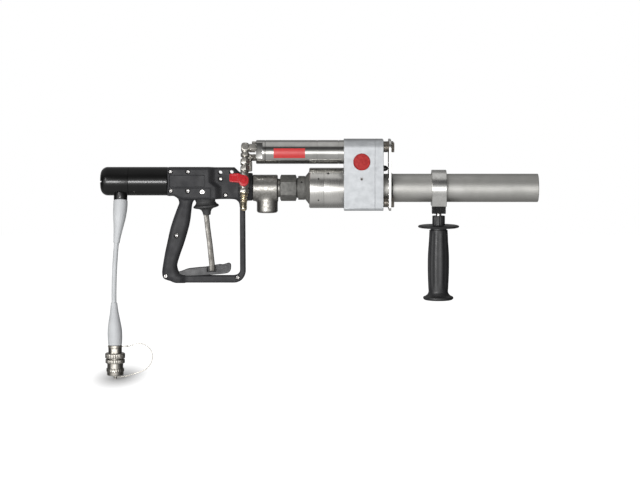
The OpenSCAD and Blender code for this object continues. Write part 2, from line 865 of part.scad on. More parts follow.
module motor_front_ring() {
    color("#b0aea8") difference() {
        turned_x([
            [motor_front_x, 0], [motor_front_x, motor_r], [426.8, motor_r], [426.8, motor_r - 0.4],
            [427.4, motor_r - 0.4], [427.4, motor_r], [gearbox_x, motor_r], [gearbox_x, 12],
            [gearbox_x + 8.5, 12], [gearbox_x + 8.5, 0]
        ], z = motor_z);
        rod_x(motor_front_x - past, 450, shaft_r + slack, z = motor_z);
    }
}

module motor_rotor() {
    color("#8f8f8f") difference() {
        union() {
            rod_x(297, 387, rotor_r, z = motor_z);
            rod_x(288, gear_x[1], shaft_r, z = motor_z);
        }
        for (a = [0:72:288]) translate([0, 0, motor_z]) rotate([a, 0, 0])
            translate([296, -0.6, 7]) cube([92, 1.2, 10]);
    }
}

module motor_pinion() {
    color("#8c8f92") gear(small_teeth, shaft_r, 0, motor_z);
}

module motor_label() {
    color("#d8402f") intersection() {
        difference() {
            rod_x(311, 367, motor_r + 0.3, z = motor_z);
            rod_x(310, 368, motor_r, z = motor_z);
        }
        translate([300, -30, 54.6]) cube([80, 30, 17.2]);
    }
}

// ---------- Air line ----------

module air_elbow() {
    color("#a8a294") difference() {
        union() {
            on_air_line(-9) cylinder(h = 18.6, r = 6.3);
            rod_x(elbow[0], motor_cap_x, 5.6, elbow[1], elbow[2]);
            hex_x(266.5, motor_cap_x, 13.4, elbow[1], elbow[2]);
            rod_x(elbow[0], stub_end_x, 4.5, elbow[1], elbow[2]);
            on_air_line(9.6) cylinder(h = 6.9, r = 7.6, $fn = 6);
            on_air_line(16) cylinder(h = 6, r = 5.2);
            on_air_line(20) cylinder(h = 24, r = 8, $fn = 6);
            on_air_line(43) cylinder(h = 3, r = 6.2);
            on_air_line(45) cylinder(h = 8, r = 8);
        }
        on_air_line(-4) cylinder(h = 60, r = 3.2);
        rod_x(elbow[0], stub_end_x + past, 2.6, elbow[1], elbow[2]);
    }
}

module exhaust_silencer() {
    color("#9b9484") {
        rod_x(exhaust[0], motor_cap_x, 5, exhaust[1], exhaust[2]);
        hex_x(272, motor_cap_x, 12, exhaust[1], exhaust[2]);
        rod_x(exhaust[0], stub_end_x, 4.3, exhaust[1], exhaust[2]);
        translate([exhaust[0], exhaust[1], 29]) cylinder(h = 31, r = 4.8);
    }
}

module air_valve() {
    body_s = [53, 72.6];
    color("#b5b1aa") difference() {
        union() {
            on_air_line(body_s[0]) cylinder(h = body_s[1] - body_s[0], r = 9.3);
            on_air_line(body_s[1]) cylinder(h = 4, r = 6.5);
            on_air_line(76) cylinder(h = 7, r = 8.6, $fn = 6);
            on_air_line(valve_s) rotate([-90, 0, 0]) cylinder(h = 10.4, r = 5.5);
        }
        on_air_line(50) cylinder(h = 40, r = bore_r);
        on_air_line(valve_s) sphere(6 + slack);
        on_air_line(valve_s) rotate([-90, 0, 0]) cylinder(h = 20, r = 2.5 + slack);
    }
}

// Ball and stem; the ball's bore lies across the line while the valve is shut
module valve_ball() {
    color("#c8c8c8") on_air_line(valve_s) difference() {
        union() {
            sphere(6);
            rotate([-90, 0, 0]) cylinder(h = 15, r = 2.5);
            translate([0, 13.5, 0]) rotate([-90, 0, 0]) cylinder(h = 2.6, r = 4.2, $fn = 6);
        }
        translate([-7, 0, 0]) rotate([0, 90, 0]) cylinder(h = 14, r = bore_r - 0.5);
    }
}

module valve_lever() {
    arm = 25.6;
    color("#c01f27") on_air_line(valve_s) difference() {
        side_plate(10.5, 13.5) {
            circle(9.2);
            polygon(rounded([[0, 4, 0], [-9, 3.4, 3], [-arm, 2.2, 3], [-arm, -13, 3], [-10, -14, 4], [0, -9, 0]]));
        }
        rod_y(9, 15, 2.5, 0, 0);
    }
}

module air_nipple() {
    color("#b6924e") on_air_line() difference() {
        turned_z([
            [0, 83], [5.5, 83], [5.5, 84], [7, 84.6], [7, 89.6], [5.4, 90.2], [5.4, 93], [6.2, 93.4],
            [6.2, 95.8], [5.2, 96.4], [5.2, 98.4], [6.2, 99], [6.2, 101.4], [5, 102], [5, 115.3], [0, 115.3]
        ]);
        translate([0, 0, 80]) cylinder(h = 40, r = 2.5);
    }
}

// ---------- Barrel and side handle ----------

module barrel_tube() {
    color("#a6a4a0") difference() {
        rod_x(cover_front_x, muzzle_x, barrel_r);
        rod_x(cover_front_x - past, muzzle_x + past, barrel_r - 3);
    }
}

module flange_plate() {
    color("#b8b5ae") difference() {
        cross_plate(plate_x, plate_x + plate_t) gearbox_section();
        rod_x(plate_x - past, plate_x + plate_t + past, barrel_r);
        for (b = plate_bolts) rod_x(plate_x - past, plate_x + plate_t + past, plate_bolt_r, b[0], b[1]);
    }
}

lug_z = -46.6;
stud_r = 5;

module clamp_ring() {
    half_len = 13.2;
    ring_r = 32.5;
    // The sides run straight down from the ring, leaning in by this angle, to the foot of the lug
    lean = 18;
    foot_z = -32.4;
    tangent = ring_r * [cos(lean), -sin(lean)];
    foot_half_w = tangent[0] + (foot_z - tangent[1]) * tan(lean);
    color("#8f8d88") difference() {
        cross_plate(handle_x - half_len, handle_x + half_len) {
            circle(ring_r);
            polygon([tangent, [foot_half_w, foot_z], [-foot_half_w, foot_z], [-tangent[0], tangent[1]]]);
            translate([-11, lug_z]) square([22, -lug_z]);
        }
        rod_x(handle_x - 20, handle_x + 20, barrel_r + slack);
        translate([handle_x, 0, lug_z - past]) cylinder(h = 30, r = stud_r);
    }
}

module handle_stud() {
    color("#a0a0a0") translate([handle_x, 0, -74]) cylinder(h = 74 - barrel_r - slack, r = stud_r);
}

module side_handle() {
    collar_z = -50.2;
    disc_z = -69.5;
    rim_r = 2.3;
    color("#1d1d1f") difference() {
        turned_z(concat(
            [[0, collar_z], [11.4, collar_z], [11.4, disc_z + rim_r]],
            [for (a = [90:-20:-90]) [guard_disc_r - rim_r + rim_r * cos(a), disc_z + rim_r * sin(a)]],
            [[15.5, disc_z - rim_r]],
            smooth([[15.7, -76], [16.2, -80], [17.5, -97], [18.9, -118], [19.3, -139], [18.9, -160], [18, -180],
                [17.6, -186], [18.2, -189.4], [20.2, -192.6], [23.4, -195], [26.4, -196.2]]),
            [[27.2, -197.4], [27.2, -199], [26, -201], [23.4, -202.2], [0, -202.2]]
        ), [handle_x, 0, 0]);
        translate([handle_x, 0, -74]) cylinder(h = 40, r = stud_r);
    }
}

in_frame() stock_rear_cap();
in_frame() stock_tube();
in_frame() cable_gland();
in_frame() cable_upper_boot();
in_frame() cable();
in_frame() cable_lower_boot();
in_frame() connector_shell();
in_frame() connector_insert();
in_frame() connector_ring();
in_frame() dust_cap();
in_frame() lanyard();
in_frame() grip_shell_right();
in_frame() grip_shell_left();
in_frame() housing_screws();
in_frame() trigger_sensor();
in_frame() trigger();
in_frame() trigger_pin();
in_frame() trigger_boot();
in_frame() trigger_spring();
in_frame() safety_latch();
in_frame() latch_pin();
in_frame() latch_spring();
in_frame() water_block();
in_frame() union_nut();
in_frame() packing_gland();
in_frame() seal_rings();
in_frame() swivel_housing();
in_frame() bearing_outer_rings();
in_frame() bearing_inner_rings();
in_frame() bearing_balls();
in_frame() lance_tube();
in_frame() lance_gear();
in_frame() nozzle_head();
in_frame() nozzle_inserts();
in_frame() lance_guide();
in_frame() gearbox_body();
in_frame() gearbox_cover();
in_frame() gearbox_fasteners();
in_frame() grease_nipple();
in_frame() badge();
in_frame() idler_gear();
in_frame() idler_shaft();
in_frame() motor_rear_cap();
in_frame() motor_cylinder();
in_frame() motor_front_ring();
in_frame() motor_rotor();
in_frame() motor_pinion();
in_frame() motor_label();
in_frame() air_elbow();
in_frame() exhaust_silencer();
in_frame() air_valve();
in_frame() valve_ball();
in_frame() valve_lever();
in_frame() air_nipple();
in_frame() barrel_tube();
in_frame() flange_plate();
in_frame() standoffs();
in_frame() clamp_ring();
in_frame() handle_stud();
in_frame() side_handle();
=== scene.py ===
"""Looks of the water jetting gun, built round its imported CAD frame.

Shapes are drawn in gun millimetres: X from the rear face of the stock, Y to the operator's left,
Z up from the lance axis. gun() turns them into metres in the frame.
"""
import json
from functools import partial
from math import asin, atan2, ceil, cos, degrees, pi, radians, sin, sqrt, tan

import bmesh
import bpy
import numpy as np
from mathutils import Matrix, Vector


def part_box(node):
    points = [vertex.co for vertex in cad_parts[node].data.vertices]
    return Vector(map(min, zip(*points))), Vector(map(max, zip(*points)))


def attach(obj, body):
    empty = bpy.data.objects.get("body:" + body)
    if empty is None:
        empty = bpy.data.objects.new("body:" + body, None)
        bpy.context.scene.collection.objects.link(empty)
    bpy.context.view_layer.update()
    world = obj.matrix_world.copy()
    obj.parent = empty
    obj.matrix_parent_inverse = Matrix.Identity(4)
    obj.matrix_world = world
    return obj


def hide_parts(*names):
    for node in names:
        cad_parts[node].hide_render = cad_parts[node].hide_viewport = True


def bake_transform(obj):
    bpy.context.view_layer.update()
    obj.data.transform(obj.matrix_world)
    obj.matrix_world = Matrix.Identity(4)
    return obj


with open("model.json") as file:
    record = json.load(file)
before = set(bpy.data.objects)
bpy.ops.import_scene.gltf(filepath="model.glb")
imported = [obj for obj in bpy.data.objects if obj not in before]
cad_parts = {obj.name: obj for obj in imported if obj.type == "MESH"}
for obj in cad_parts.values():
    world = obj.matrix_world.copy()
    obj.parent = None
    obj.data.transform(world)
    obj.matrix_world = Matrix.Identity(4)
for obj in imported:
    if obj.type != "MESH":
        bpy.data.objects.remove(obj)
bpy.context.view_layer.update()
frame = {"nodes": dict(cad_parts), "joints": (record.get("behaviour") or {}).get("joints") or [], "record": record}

MM = 0.001
REAR_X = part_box("stock_rear_cap")[0].x
joints = {joint["name"]: joint for joint in frame["joints"]}
LANCE_Z = joints["lance_spin"]["pos_m"][2]


def gun(x, y, z):
    """A point in the frame, in metres, from gun millimetres."""
    return Vector((REAR_X + x * MM, y * MM, LANCE_Z + z * MM))


def gun_mm(point):
    """Gun millimetres of a point in the frame."""
    return Vector(((point[0] - REAR_X) / MM, point[1] / MM, (point[2] - LANCE_Z) / MM))


def link(name, data):
    thing = bpy.data.objects.new(name, data)
    bpy.context.collection.objects.link(thing)
    return thing


def feed(tree, node, inputs):
    """Fills a node's inputs, by name or number, with values, sockets or other nodes' first outputs."""
    for name, value in inputs.items():
        if isinstance(value, bpy.types.Node):
            value = value.outputs[0]
        if isinstance(value, bpy.types.NodeSocket):
            tree.links.new(value, node.inputs[name])
        else:
            node.inputs[name].default_value = value


def add_node(tree, kind, inputs=None, **settings):
    """Adds a shader node with these inputs and properties."""
    node = tree.nodes.new("ShaderNode" + kind)
    for name, value in settings.items():
        setattr(node, name, value)
    feed(tree, node, inputs or {})
    return node


# ---------- Camera, light and floor ----------

PHOTO_MM_PER_PIXEL = 1.8
CAMERA_DISTANCE = 4.0
CAMERA_AIM = gun(393.7, 0, -94)
CAMERA_RISE = radians(5)

# Radiance of the studio at angles round the gun's length, in degrees: a strip light at the camera's
# height, a dark gap above it and a soft light overhead
STUDIO_BANDS = [
    (-180, 0.30), (-125, 0.26), (-107, 0.26), (-95, 0.40), (-85, 0.55), (-60, 0.65), (-40, 0.68),
    (-22, 0.75), (-14, 1.5), (-7, 3.2), (1, 3.2), (7, 1.5), (14, 0.65), (22, 0.3), (32, 0.12), (49, 0.12),
    (59, 0.25), (69, 0.36), (83, 0.42), (100, 0.40), (115, 0.38), (128, 0.34), (152, 0.30), (180, 0.32)
]
STUDIO_PEAK = 4.0
# How much of it is left towards the gun's rear (-1), straight ahead (0) and towards its muzzle (1)
STUDIO_SIDES = [
    (-1, 0.10), (-0.92, 0.25), (-0.78, 1.0), (-0.5, 1.15), (-0.15, 1.0), (0.15, 1.0), (0.4, 0.62),
    (0.65, 0.32), (0.88, 0.14), (1, 0.10)
]
SIDES_PEAK = 1.2
FLOOR_SIZE, FLOOR_GLOW = 3.0, 0.9
# The soft shadow painted into the floor's glow under the plug: its middle, its reach in x and y, and how much
# light it takes away
SHADOW_AT = gun(30, 0, 0)
SHADOW_REACH = (0.066, 0.2, 1)
SHADOW_DEPTH = 0.75


def make_camera():
    camera = link("camera", bpy.data.cameras.new("camera"))
    camera.data.sensor_width = 36
    camera.data.lens = camera.data.sensor_width * CAMERA_DISTANCE / (640 * PHOTO_MM_PER_PIXEL * MM)
    camera.location = CAMERA_AIM + CAMERA_DISTANCE * Vector((0, -cos(CAMERA_RISE), sin(CAMERA_RISE)))
    camera.rotation_euler = (pi / 2 - CAMERA_RISE, 0, 0)
    bpy.context.scene.camera = camera


def area_light(name, place, aim, size, power):
    lamp = link(name, bpy.data.lights.new(name, "AREA"))
    lamp.data.shape = "RECTANGLE"
    lamp.data.size, lamp.data.size_y = size
    lamp.data.energy = power
    lamp.location = place
    lamp.rotation_euler = (aim - place).to_track_quat("-Z", "Y").to_euler()


def make_world():
    """White behind the object, and a studio with bright and dark bands for the metal to mirror."""
    world = bpy.data.worlds.new("studio")
    world.use_nodes = True
    bpy.context.scene.world = world
    world.node_tree.nodes.clear()
    add = partial(add_node, world.node_tree)
    split = add("SeparateXYZ", {0: add("TexCoord").outputs["Generated"]})
    front = add("Math", {0: split.outputs["Y"], 1: -1}, operation="MULTIPLY")
    # The angle round the gun's length: 0 at the camera's side, 90 overhead, -90 below, 180 behind
    angle = add("Math", {0: split.outputs["Z"], 1: front}, operation="ARCTAN2")

    def ramp(value, low, high, stops, peak):
        place = add("MapRange", {"From Min": low, "From Max": high, "Value": value})
        node = add("ValToRGB", {0: place})
        elements = node.color_ramp.elements
        while len(elements) < len(stops):
            elements.new(0.5)
        for element, (at, level) in zip(elements, stops):
            element.position = (at - stops[0][0]) / (stops[-1][0] - stops[0][0])
            element.color = (*[level / peak] * 3, 1)
        return node

    bands = ramp(angle, -pi, pi, STUDIO_BANDS, STUDIO_PEAK)
    sides = ramp(split.outputs["X"], -1, 1, STUDIO_SIDES, SIDES_PEAK)
    both = add("VectorMath", {0: bands, 1: sides}, operation="MULTIPLY")
    studio = add("Background", {"Strength": STUDIO_PEAK * SIDES_PEAK, "Color": both})
    white = add("Background", {"Color": (1, 1, 1, 1)})
    mix = add("MixShader", {0: add("LightPath").outputs["Is Camera Ray"], 1: studio, 2: white})
    add("OutputWorld", {0: mix})


def make_floor(level):
    """A floor that fades into the white background and takes the shadows, but isn't mirrored by the metal; a soft
    shadow is painted into its glow under the plug.
    """
    mesh = bpy.data.meshes.new("floor")
    corners = [(-1, -1), (1, -1), (1, 1), (-1, 1)]
    mesh.from_pydata([(FLOOR_SIZE * a, FLOOR_SIZE * b, level) for a, b in corners], [], [(0, 1, 2, 3)])
    material = bpy.data.materials.new("pale_floor")
    material.use_nodes = True
    tree = material.node_tree
    add = partial(add_node, tree)
    matt = tree.nodes["Principled BSDF"]
    feed(tree, matt, {"Base Color": (0.5, 0.5, 0.5, 1), "Roughness": 0.9})
    # Painted shadow: the glow dims in a soft patch round the plug
    from_plug = add("Mapping", {
        0: add("TexCoord").outputs["Object"], "Scale": [1 / reach for reach in SHADOW_REACH],
        "Location": [-at / reach for at, reach in zip(SHADOW_AT, SHADOW_REACH)]
    })
    flat = add("VectorMath", {0: from_plug, 1: (1, 1, 0)}, operation="MULTIPLY")
    away = add("VectorMath", {0: flat}, operation="LENGTH").outputs["Value"]
    fade = add("MapRange", {"Value": away, "To Min": FLOOR_GLOW - SHADOW_DEPTH, "To Max": FLOOR_GLOW},
               interpolation_type="SMOOTHSTEP")
    both = add("AddShader", {0: matt, 1: add("Emission", {"Strength": fade})})
    mix = add("MixShader", {0: add("LightPath").outputs["Is Camera Ray"], 1: add("BsdfTransparent"), 2: both})
    feed(tree, tree.nodes["Material Output"], {0: mix})
    mesh.materials.append(material)
    link("floor", mesh)


# ---------- Mesh tools ----------

SHARP = 34


def build(name, points, faces, place=None, sharp=SHARP):
    """A mesh piece from millimetre points. place maps them into gun millimetres."""
    if place is not None:
        points = [place @ Vector(p) for p in points]
    mesh = bpy.data.meshes.new(name)
    mesh.from_pydata([gun(*p) for p in points], [], faces)
    tidy(mesh, sharp)
    return link(name, mesh)


def tidy(mesh, sharp=SHARP):
    """Welds double points, turns the faces outwards and smooths all edges but those over sharp degrees."""
    work = bmesh.new()
    work.from_mesh(mesh)
    bmesh.ops.remove_doubles(work, verts=work.verts, dist=1e-7)
    bmesh.ops.recalc_face_normals(work, faces=work.faces)
    work.to_mesh(mesh)
    work.free()
    mesh.shade_smooth()
    mesh.set_sharp_from_angle(angle=radians(sharp))
    mesh.update()


def modified(piece, kind, **settings):
    """Applies one modifier to a piece's mesh."""
    modifier = piece.modifiers.new(kind.lower(), kind)
    for name, value in settings.items():
        setattr(modifier, name, value)
    graph = bpy.context.evaluated_depsgraph_get()
    mesh = bpy.data.meshes.new_from_object(piece.evaluated_get(graph))
    piece.modifiers.clear()
    piece.data = mesh


def bevel(piece, width, segments=3, angle=38):
    """Rounds a piece's edges; width is in millimetres."""
    modified(piece, "BEVEL", width=width * MM, segments=segments, limit_method="ANGLE",
             angle_limit=radians(angle), harden_normals=False)
    tidy(piece.data)
    return piece


def carve(piece, *cutters, operation="DIFFERENCE"):
    """Cuts the cutters away from a piece, or keeps only what lies inside them."""
    for cutter in cutters:
        modified(piece, "BOOLEAN", operation=operation, solver="EXACT", object=cutter)
        bpy.data.objects.remove(cutter)
    tidy(piece.data)
    return piece


def merge(name, *pieces):
    """One piece from several meshes that stay separate shells."""
    work = bmesh.new()
    for piece in pieces:
        work.from_mesh(piece.data)
        bpy.data.objects.remove(piece)
    mesh = bpy.data.meshes.new(name)
    work.to_mesh(mesh)
    work.free()
    return link(name, mesh)


def weighted(piece):
    """Keeps flat faces looking flat beside rounded edges."""
    piece.modifiers.new("normals", "WEIGHTED_NORMAL").keep_sharp = True
    return piece


# Placements: a shape's own Z axis is laid along X, along Y, along Z, or down the tilted air line

def along_x(y=0, z=0):
    return Matrix(((0, 0, 1, 0), (1, 0, 0, y), (0, 1, 0, z), (0, 0, 0, 1)))


def along_y(x, z):
    return Matrix(((0, 1, 0, x), (0, 0, 1, 0), (1, 0, 0, z), (0, 0, 0, 1)))


def upright(x, y, z=0):
    return Matrix.Translation((x, y, z))


def rotation(angle, axis="X"):
    return Matrix.Rotation(radians(angle), 4, axis)


ELBOW = Vector((258.3, -12, 72))
VALVE_AT = gun_mm(joints["air_valve_turn"]["pos_m"])
AIR_DOWN = (VALVE_AT - ELBOW).normalized()
VALVE_S = (VALVE_AT - ELBOW).length
AIR_TURN = Matrix.Rotation(atan2(-AIR_DOWN.y, AIR_DOWN.z), 4, "X")
STOCK_R, STOCK_Z = 25.6, 12
GLAND_TILT = 15


def air_line(s=0):
    """Z runs down the air line, s from its elbow, and +Y faces outwards."""
    return Matrix.Translation(ELBOW) @ AIR_TURN @ upright(0, 0, s)


def eased(profile, radius, steps=3, closed=False):
    """A profile with its inner corners rounded."""
    points = [Vector(p) for p in profile]
    count = len(points)
    result = []
    for i, b in enumerate(points):
        a, c = points[i - 1], points[(i + 1) % count]
        back, ahead = a - b, c - b
        reach = min(radius, 0.45 * back.length, 0.45 * ahead.length)
        if (not closed and i in (0, count - 1)) or reach < 1e-3 or back.angle(ahead) > radians(165):
            result.append(b)
            continue
        start, end = b + back.normalized() * reach, b + ahead.normalized() * reach
        for t in (k / steps for k in range(steps + 1)):
            result.append(start * (1 - t) ** 2 + b * 2 * t * (1 - t) + end * t ** 2)
    return [tuple(p) for p in result]


def turned(name, profile, place, segments=96, closed=False, relief=None, sharp=SHARP, ease=None,
           steps=3):
    """A body turned from (station, radius) points, with its corners eased by a radius.

    An open profile goes to the axis at both ends. relief(station, angle, radius) gives a new radius.
    """
    profile = list(profile)
    if not closed:
        if profile[0][1]:
            profile.insert(0, (profile[0][0], 0))
        if profile[-1][1]:
            profile.append((profile[-1][0], 0))
    if ease is not None:
        profile = eased(profile, ease, steps, closed)
    points, rings = [], []
    for station, radius in profile:
        count = segments if closed or radius > 1e-4 else 1
        rings.append([len(points) + k for k in range(count)])
        for angle in (2 * pi * k / segments for k in range(count)):
            r = relief(station, angle, radius) if relief and count > 1 else radius
            points.append((r * cos(angle), r * sin(angle), station))
    faces = []
    for low, high in zip(rings, rings[1:] + rings[:closed]):
        for k in range(segments):
            corners = [ring[i % len(ring)] for ring, i in ((low, k), (low, k + 1), (high, k + 1), (high, k))]
            faces.append(tuple(dict.fromkeys(corners)))
    return build(name, points, faces, place, sharp)


hollow = partial(turned, closed=True)


def ribbed(count, depth, low, high, above, power=1):
    """A relief of ribs along a turned body, between two stations and where its radius is above a limit."""
    def relief(station, angle, radius):
        if low < station < high and radius > above:
            return radius - depth * abs(sin(count * angle)) ** power
        return radius
    return relief


def rod(name, place, start, end, radius, edge=0.4, segments=64):
    """A solid cylinder with rounded rims."""
    return turned(name, [(start, radius), (end, radius)], place, segments, ease=edge)


def prism_faces(n):
    """The faces of a prism whose points are its low ring and then its high one."""
    sides = [(k, (k + 1) % n, n + (k + 1) % n, n + k) for k in range(n)]
    return [tuple(range(n)), tuple(range(n, 2 * n))] + sides


def hexagon(name, place, start, end, flats, chamfer=0.07, turn=0):
    """A hexagon nut or head with the round chamfers that a lathe leaves on its corners."""
    corner = flats / sqrt(3)
    around = [radians(60 * k) + radians(turn) for k in range(6)]
    points = [(corner * cos(a), corner * sin(a), station) for station in (start, end) for a in around]
    nut = build(name, points, prism_faces(6), place)
    depth = chamfer * flats
    rim = flats / 2 * 0.97
    cone = [(start, rim), (start + depth, corner * 1.01), (end - depth, corner * 1.01), (end, rim)]
    carve(nut, turned(name + "_cone", cone, place), operation="INTERSECT")
    return bevel(nut, 0.25, 2, 25)


def prism(name, outline, low, high, plane="side", edge=0.8):
    """An outline thickened across the gun (side) or along it (cross)."""
    if plane == "side":
        points = [(a, level, b) for level in (low, high) for a, b in outline]
    else:
        points = [(level, a, b) for level in (low, high) for a, b in outline]
    piece = build(name, points, prism_faces(len(outline)))
    return bevel(piece, edge) if edge else piece


def build_box(name, low, high):
    (x0, y0, z0), (x1, y1, z1) = low, high
    return prism(name, [(x0, z0), (x1, z0), (x1, z1), (x0, z1)], y0, y1, edge=0)


def arc_corners(points, step=10):
    """An outline of (a, b, corner radius) points with its corners rounded."""
    result = []
    for i, (x, y, radius) in enumerate(points):
        b = Vector((x, y))
        if radius == 0:
            result.append((x, y))
            continue
        u = (Vector(points[i - 1][:2]) - b).normalized()
        v = (Vector(points[(i + 1) % len(points)][:2]) - b).normalized()
        half = u.angle(v) / 2
        centre = b + (u + v).normalized() * radius / sin(half)
        start = b + u * radius / tan(half) - centre
        end = b + v * radius / tan(half) - centre
        sweep = -start.angle_signed(end)
        first = atan2(start.y, start.x)
        steps = max(2, ceil(degrees(abs(sweep)) / step))
        for k in range(steps + 1):
            a = first + sweep * k / steps
            result.append((centre.x + radius * cos(a), centre.y + radius * sin(a)))
    return result


def smooth_line(points, steps=6):
    """A smooth curve through the points, of any dimension."""
    p = [Vector(q) for q in points]
    p = [p[0], *p, p[-1]]
    result = []
    for a, b, c, d in zip(p, p[1:], p[2:], p[3:]):
        for t in (k / steps for k in range(steps)):
            result.append((2 * b + (c - a) * t + (2 * a - 5 * b + 4 * c - d) * t * t
                           + (3 * b - a - 3 * c + d) * t ** 3) / 2)
    result.append(p[-1])
    return [tuple(q) for q in result]


def directions(line):
    """The unit direction of a line at each of its points."""
    p = [Vector(q) for q in line]
    return [(b - a).normalized() for a, b in zip([p[0], *p], [*p[1:], p[-1]])]


def ribbon(line, half_widths):
    """The outline of a strip that follows a line."""
    sides = [Vector((-t.y, t.x)) * width for t, width in zip(directions(line), half_widths)]
    left = smooth_line([Vector(p) + s for p, s in zip(line, sides)])
    right = smooth_line([Vector(p) - s for p, s in zip(line, sides)][::-1])
    return left + right


def swept(name, route, radii, sides=32, across=(0, 1, 0)):
    """A round bar of changing radius along a route that never runs along the across axis."""
    points = []
    for centre, t, radius in zip(route, directions(route), radii):
        u = t.cross(Vector(across)).normalized()
        v = t.cross(u)
        for a in (2 * pi * k / sides for k in range(sides)):
            points.append(Vector(centre) + (u * cos(a) + v * sin(a)) * radius)
    faces = []
    for low in range(0, len(points) - sides, sides):
        for k in range(sides):
            n = (k + 1) % sides
            faces.append((low + k, low + n, low + sides + n, low + sides + k))
    return build(name, points, faces + [tuple(range(sides)), tuple(range(len(points) - sides, len(points)))])


# ---------- Clay: shapes from signed distances ----------

class Clay:
    """A block of space on a grid, shaped by signed distances in gun millimetres."""

    def __init__(self, low, high, step):
        self.low, self.step = np.array(low, float), step
        counts = [ceil((h - l) / step) + 1 for l, h in zip(low, high)]
        axes = [(l + step * np.arange(n, dtype=np.float32)).astype(np.float32) for l, n in zip(low, counts)]
        self.x, self.y, self.z = axes[0][:, None, None], axes[1][None, :, None], axes[2][None, None, :]
        self.d = np.full(counts, 1e3, np.float32)

    def add(self, shape, blend=0.0):
        self.d = -self._high(-self.d, -shape, blend)

    def cut(self, shape, blend=0.0):
        self.d = self._high(self.d, -shape, blend)

    @staticmethod
    def _high(a, b, blend):
        top = np.maximum(a, b)
        if blend:
            near = np.maximum(blend - np.abs(a - b), 0) / blend
            top = top + near * near * blend * 0.25
        return top

    def outline(self, points):
        """Signed distance to an outline in the XZ plane."""
        px, pz = self.x[:, 0], self.z[0]
        best = np.full((px.shape[0], pz.shape[1]), 1e9, np.float32)
        inside = np.zeros(best.shape, bool)
        for (ax, az), (bx, bz) in zip(points, points[1:] + points[:1]):
            ex, ez = bx - ax, bz - az
            length = ex * ex + ez * ez
            if length < 1e-9:
                continue
            wx, wz = px - ax, pz - az
            t = np.clip((wx * ex + wz * ez) / length, 0, 1)
            best = np.minimum(best, (wx - ex * t) ** 2 + (wz - ez * t) ** 2)
            crossing = (az <= pz) != (bz <= pz)
            side = ex * wz - wx * ez
            inside ^= crossing & ((side > 0) == (bz > az))
        flat = np.sqrt(best)
        flat[inside] *= -1
        return flat[:, None, :]

    def slab(self, points, half_width, edge, middle=0.0):
        """An outline thickened to both sides of a plane, its rims rounded by edge."""
        return self.rim(self.outline(points), np.abs(self.y - middle) - half_width, edge)

    @staticmethod
    def rim(a, b, edge):
        """The overlap of two shapes, with a round edge where their surfaces meet."""
        a, b = a + edge, b + edge
        return np.minimum(np.maximum(a, b), 0) + np.sqrt(np.maximum(a, 0) ** 2 + np.maximum(b, 0) ** 2) - edge

    def rod(self, along, a, b, start, end, radius, edge):
        return self.rim(np.sqrt(a ** 2 + b ** 2) - radius, np.maximum(start - along, along - end), edge)

    def rod_x(self, start, end, radius, y=0.0, z=0.0, edge=0.0):
        return self.rod(self.x, self.y - y, self.z - z, start, end, radius, edge)

    def rod_y(self, start, end, radius, x, z, edge=0.0):
        return self.rod(self.y, self.x - x, self.z - z, start, end, radius, edge)

    def rod_z(self, start, end, radius, x, y, edge=0.0):
        return self.rod(self.z, self.x - x, self.y - y, start, end, radius, edge)

    def skin(self, name, place=None):
        """A smooth closed mesh of the surface where the distance is zero."""
        d = self.d
        inside = d < 0
        cells = tuple(n - 1 for n in d.shape)
        corners = [(i, j, k) for i in (0, 1) for j in (0, 1) for k in (0, 1)]
        part = [d[i:i + cells[0], j:j + cells[1], k:k + cells[2]] for i, j, k in corners]
        mixed = (np.minimum.reduce(part) < 0) & (np.maximum.reduce(part) >= 0)
        at = np.argwhere(mixed)
        value = np.stack([p[mixed] for p in part], 1)
        total = np.zeros((len(at), 3))
        hits = np.zeros(len(at))
        for a in range(8):
            for b in range(a + 1, 8):
                step = np.array(corners[b]) - np.array(corners[a])
                if np.abs(step).sum() != 1:
                    continue
                cross = (value[:, a] < 0) != (value[:, b] < 0)
                t = value[cross, a] / (value[cross, a] - value[cross, b])
                total[cross] += np.array(corners[a]) + t[:, None] * step
                hits[cross] += 1
        points = self.low + self.step * (at + total / hits[:, None])
        number = np.full(cells, -1, np.int64)
        number[mixed] = np.arange(len(at))
        quads = []
        for axis in range(3):
            u, v = (axis + 1) % 3, (axis + 2) % 3
            a = np.moveaxis(inside, (axis, u, v), (0, 1, 2))
            n = np.moveaxis(number, (axis, u, v), (0, 1, 2))
            here, there = a[:-1, 1:-1, 1:-1], a[1:, 1:-1, 1:-1]
            around = [n[:, :-1, :-1], n[:, 1:, :-1], n[:, 1:, 1:], n[:, :-1, 1:]]
            for change, order in ((here & ~there, (0, 1, 2, 3)), (~here & there, (3, 2, 1, 0))):
                quads.append(np.stack([around[k][change] for k in order], 1))
        faces = np.concatenate(quads)
        if place is not None:
            points = points @ np.array(place.to_3x3()).T + np.array(place.translation)
        mesh = bpy.data.meshes.new(name)
        world = points * MM + np.array([REAR_X, 0, LANCE_Z])
        mesh.from_pydata(world.tolist(), [], faces.tolist())
        mesh.shade_smooth()
        mesh.update()
        return link(name, mesh)



# ---------- Materials ----------

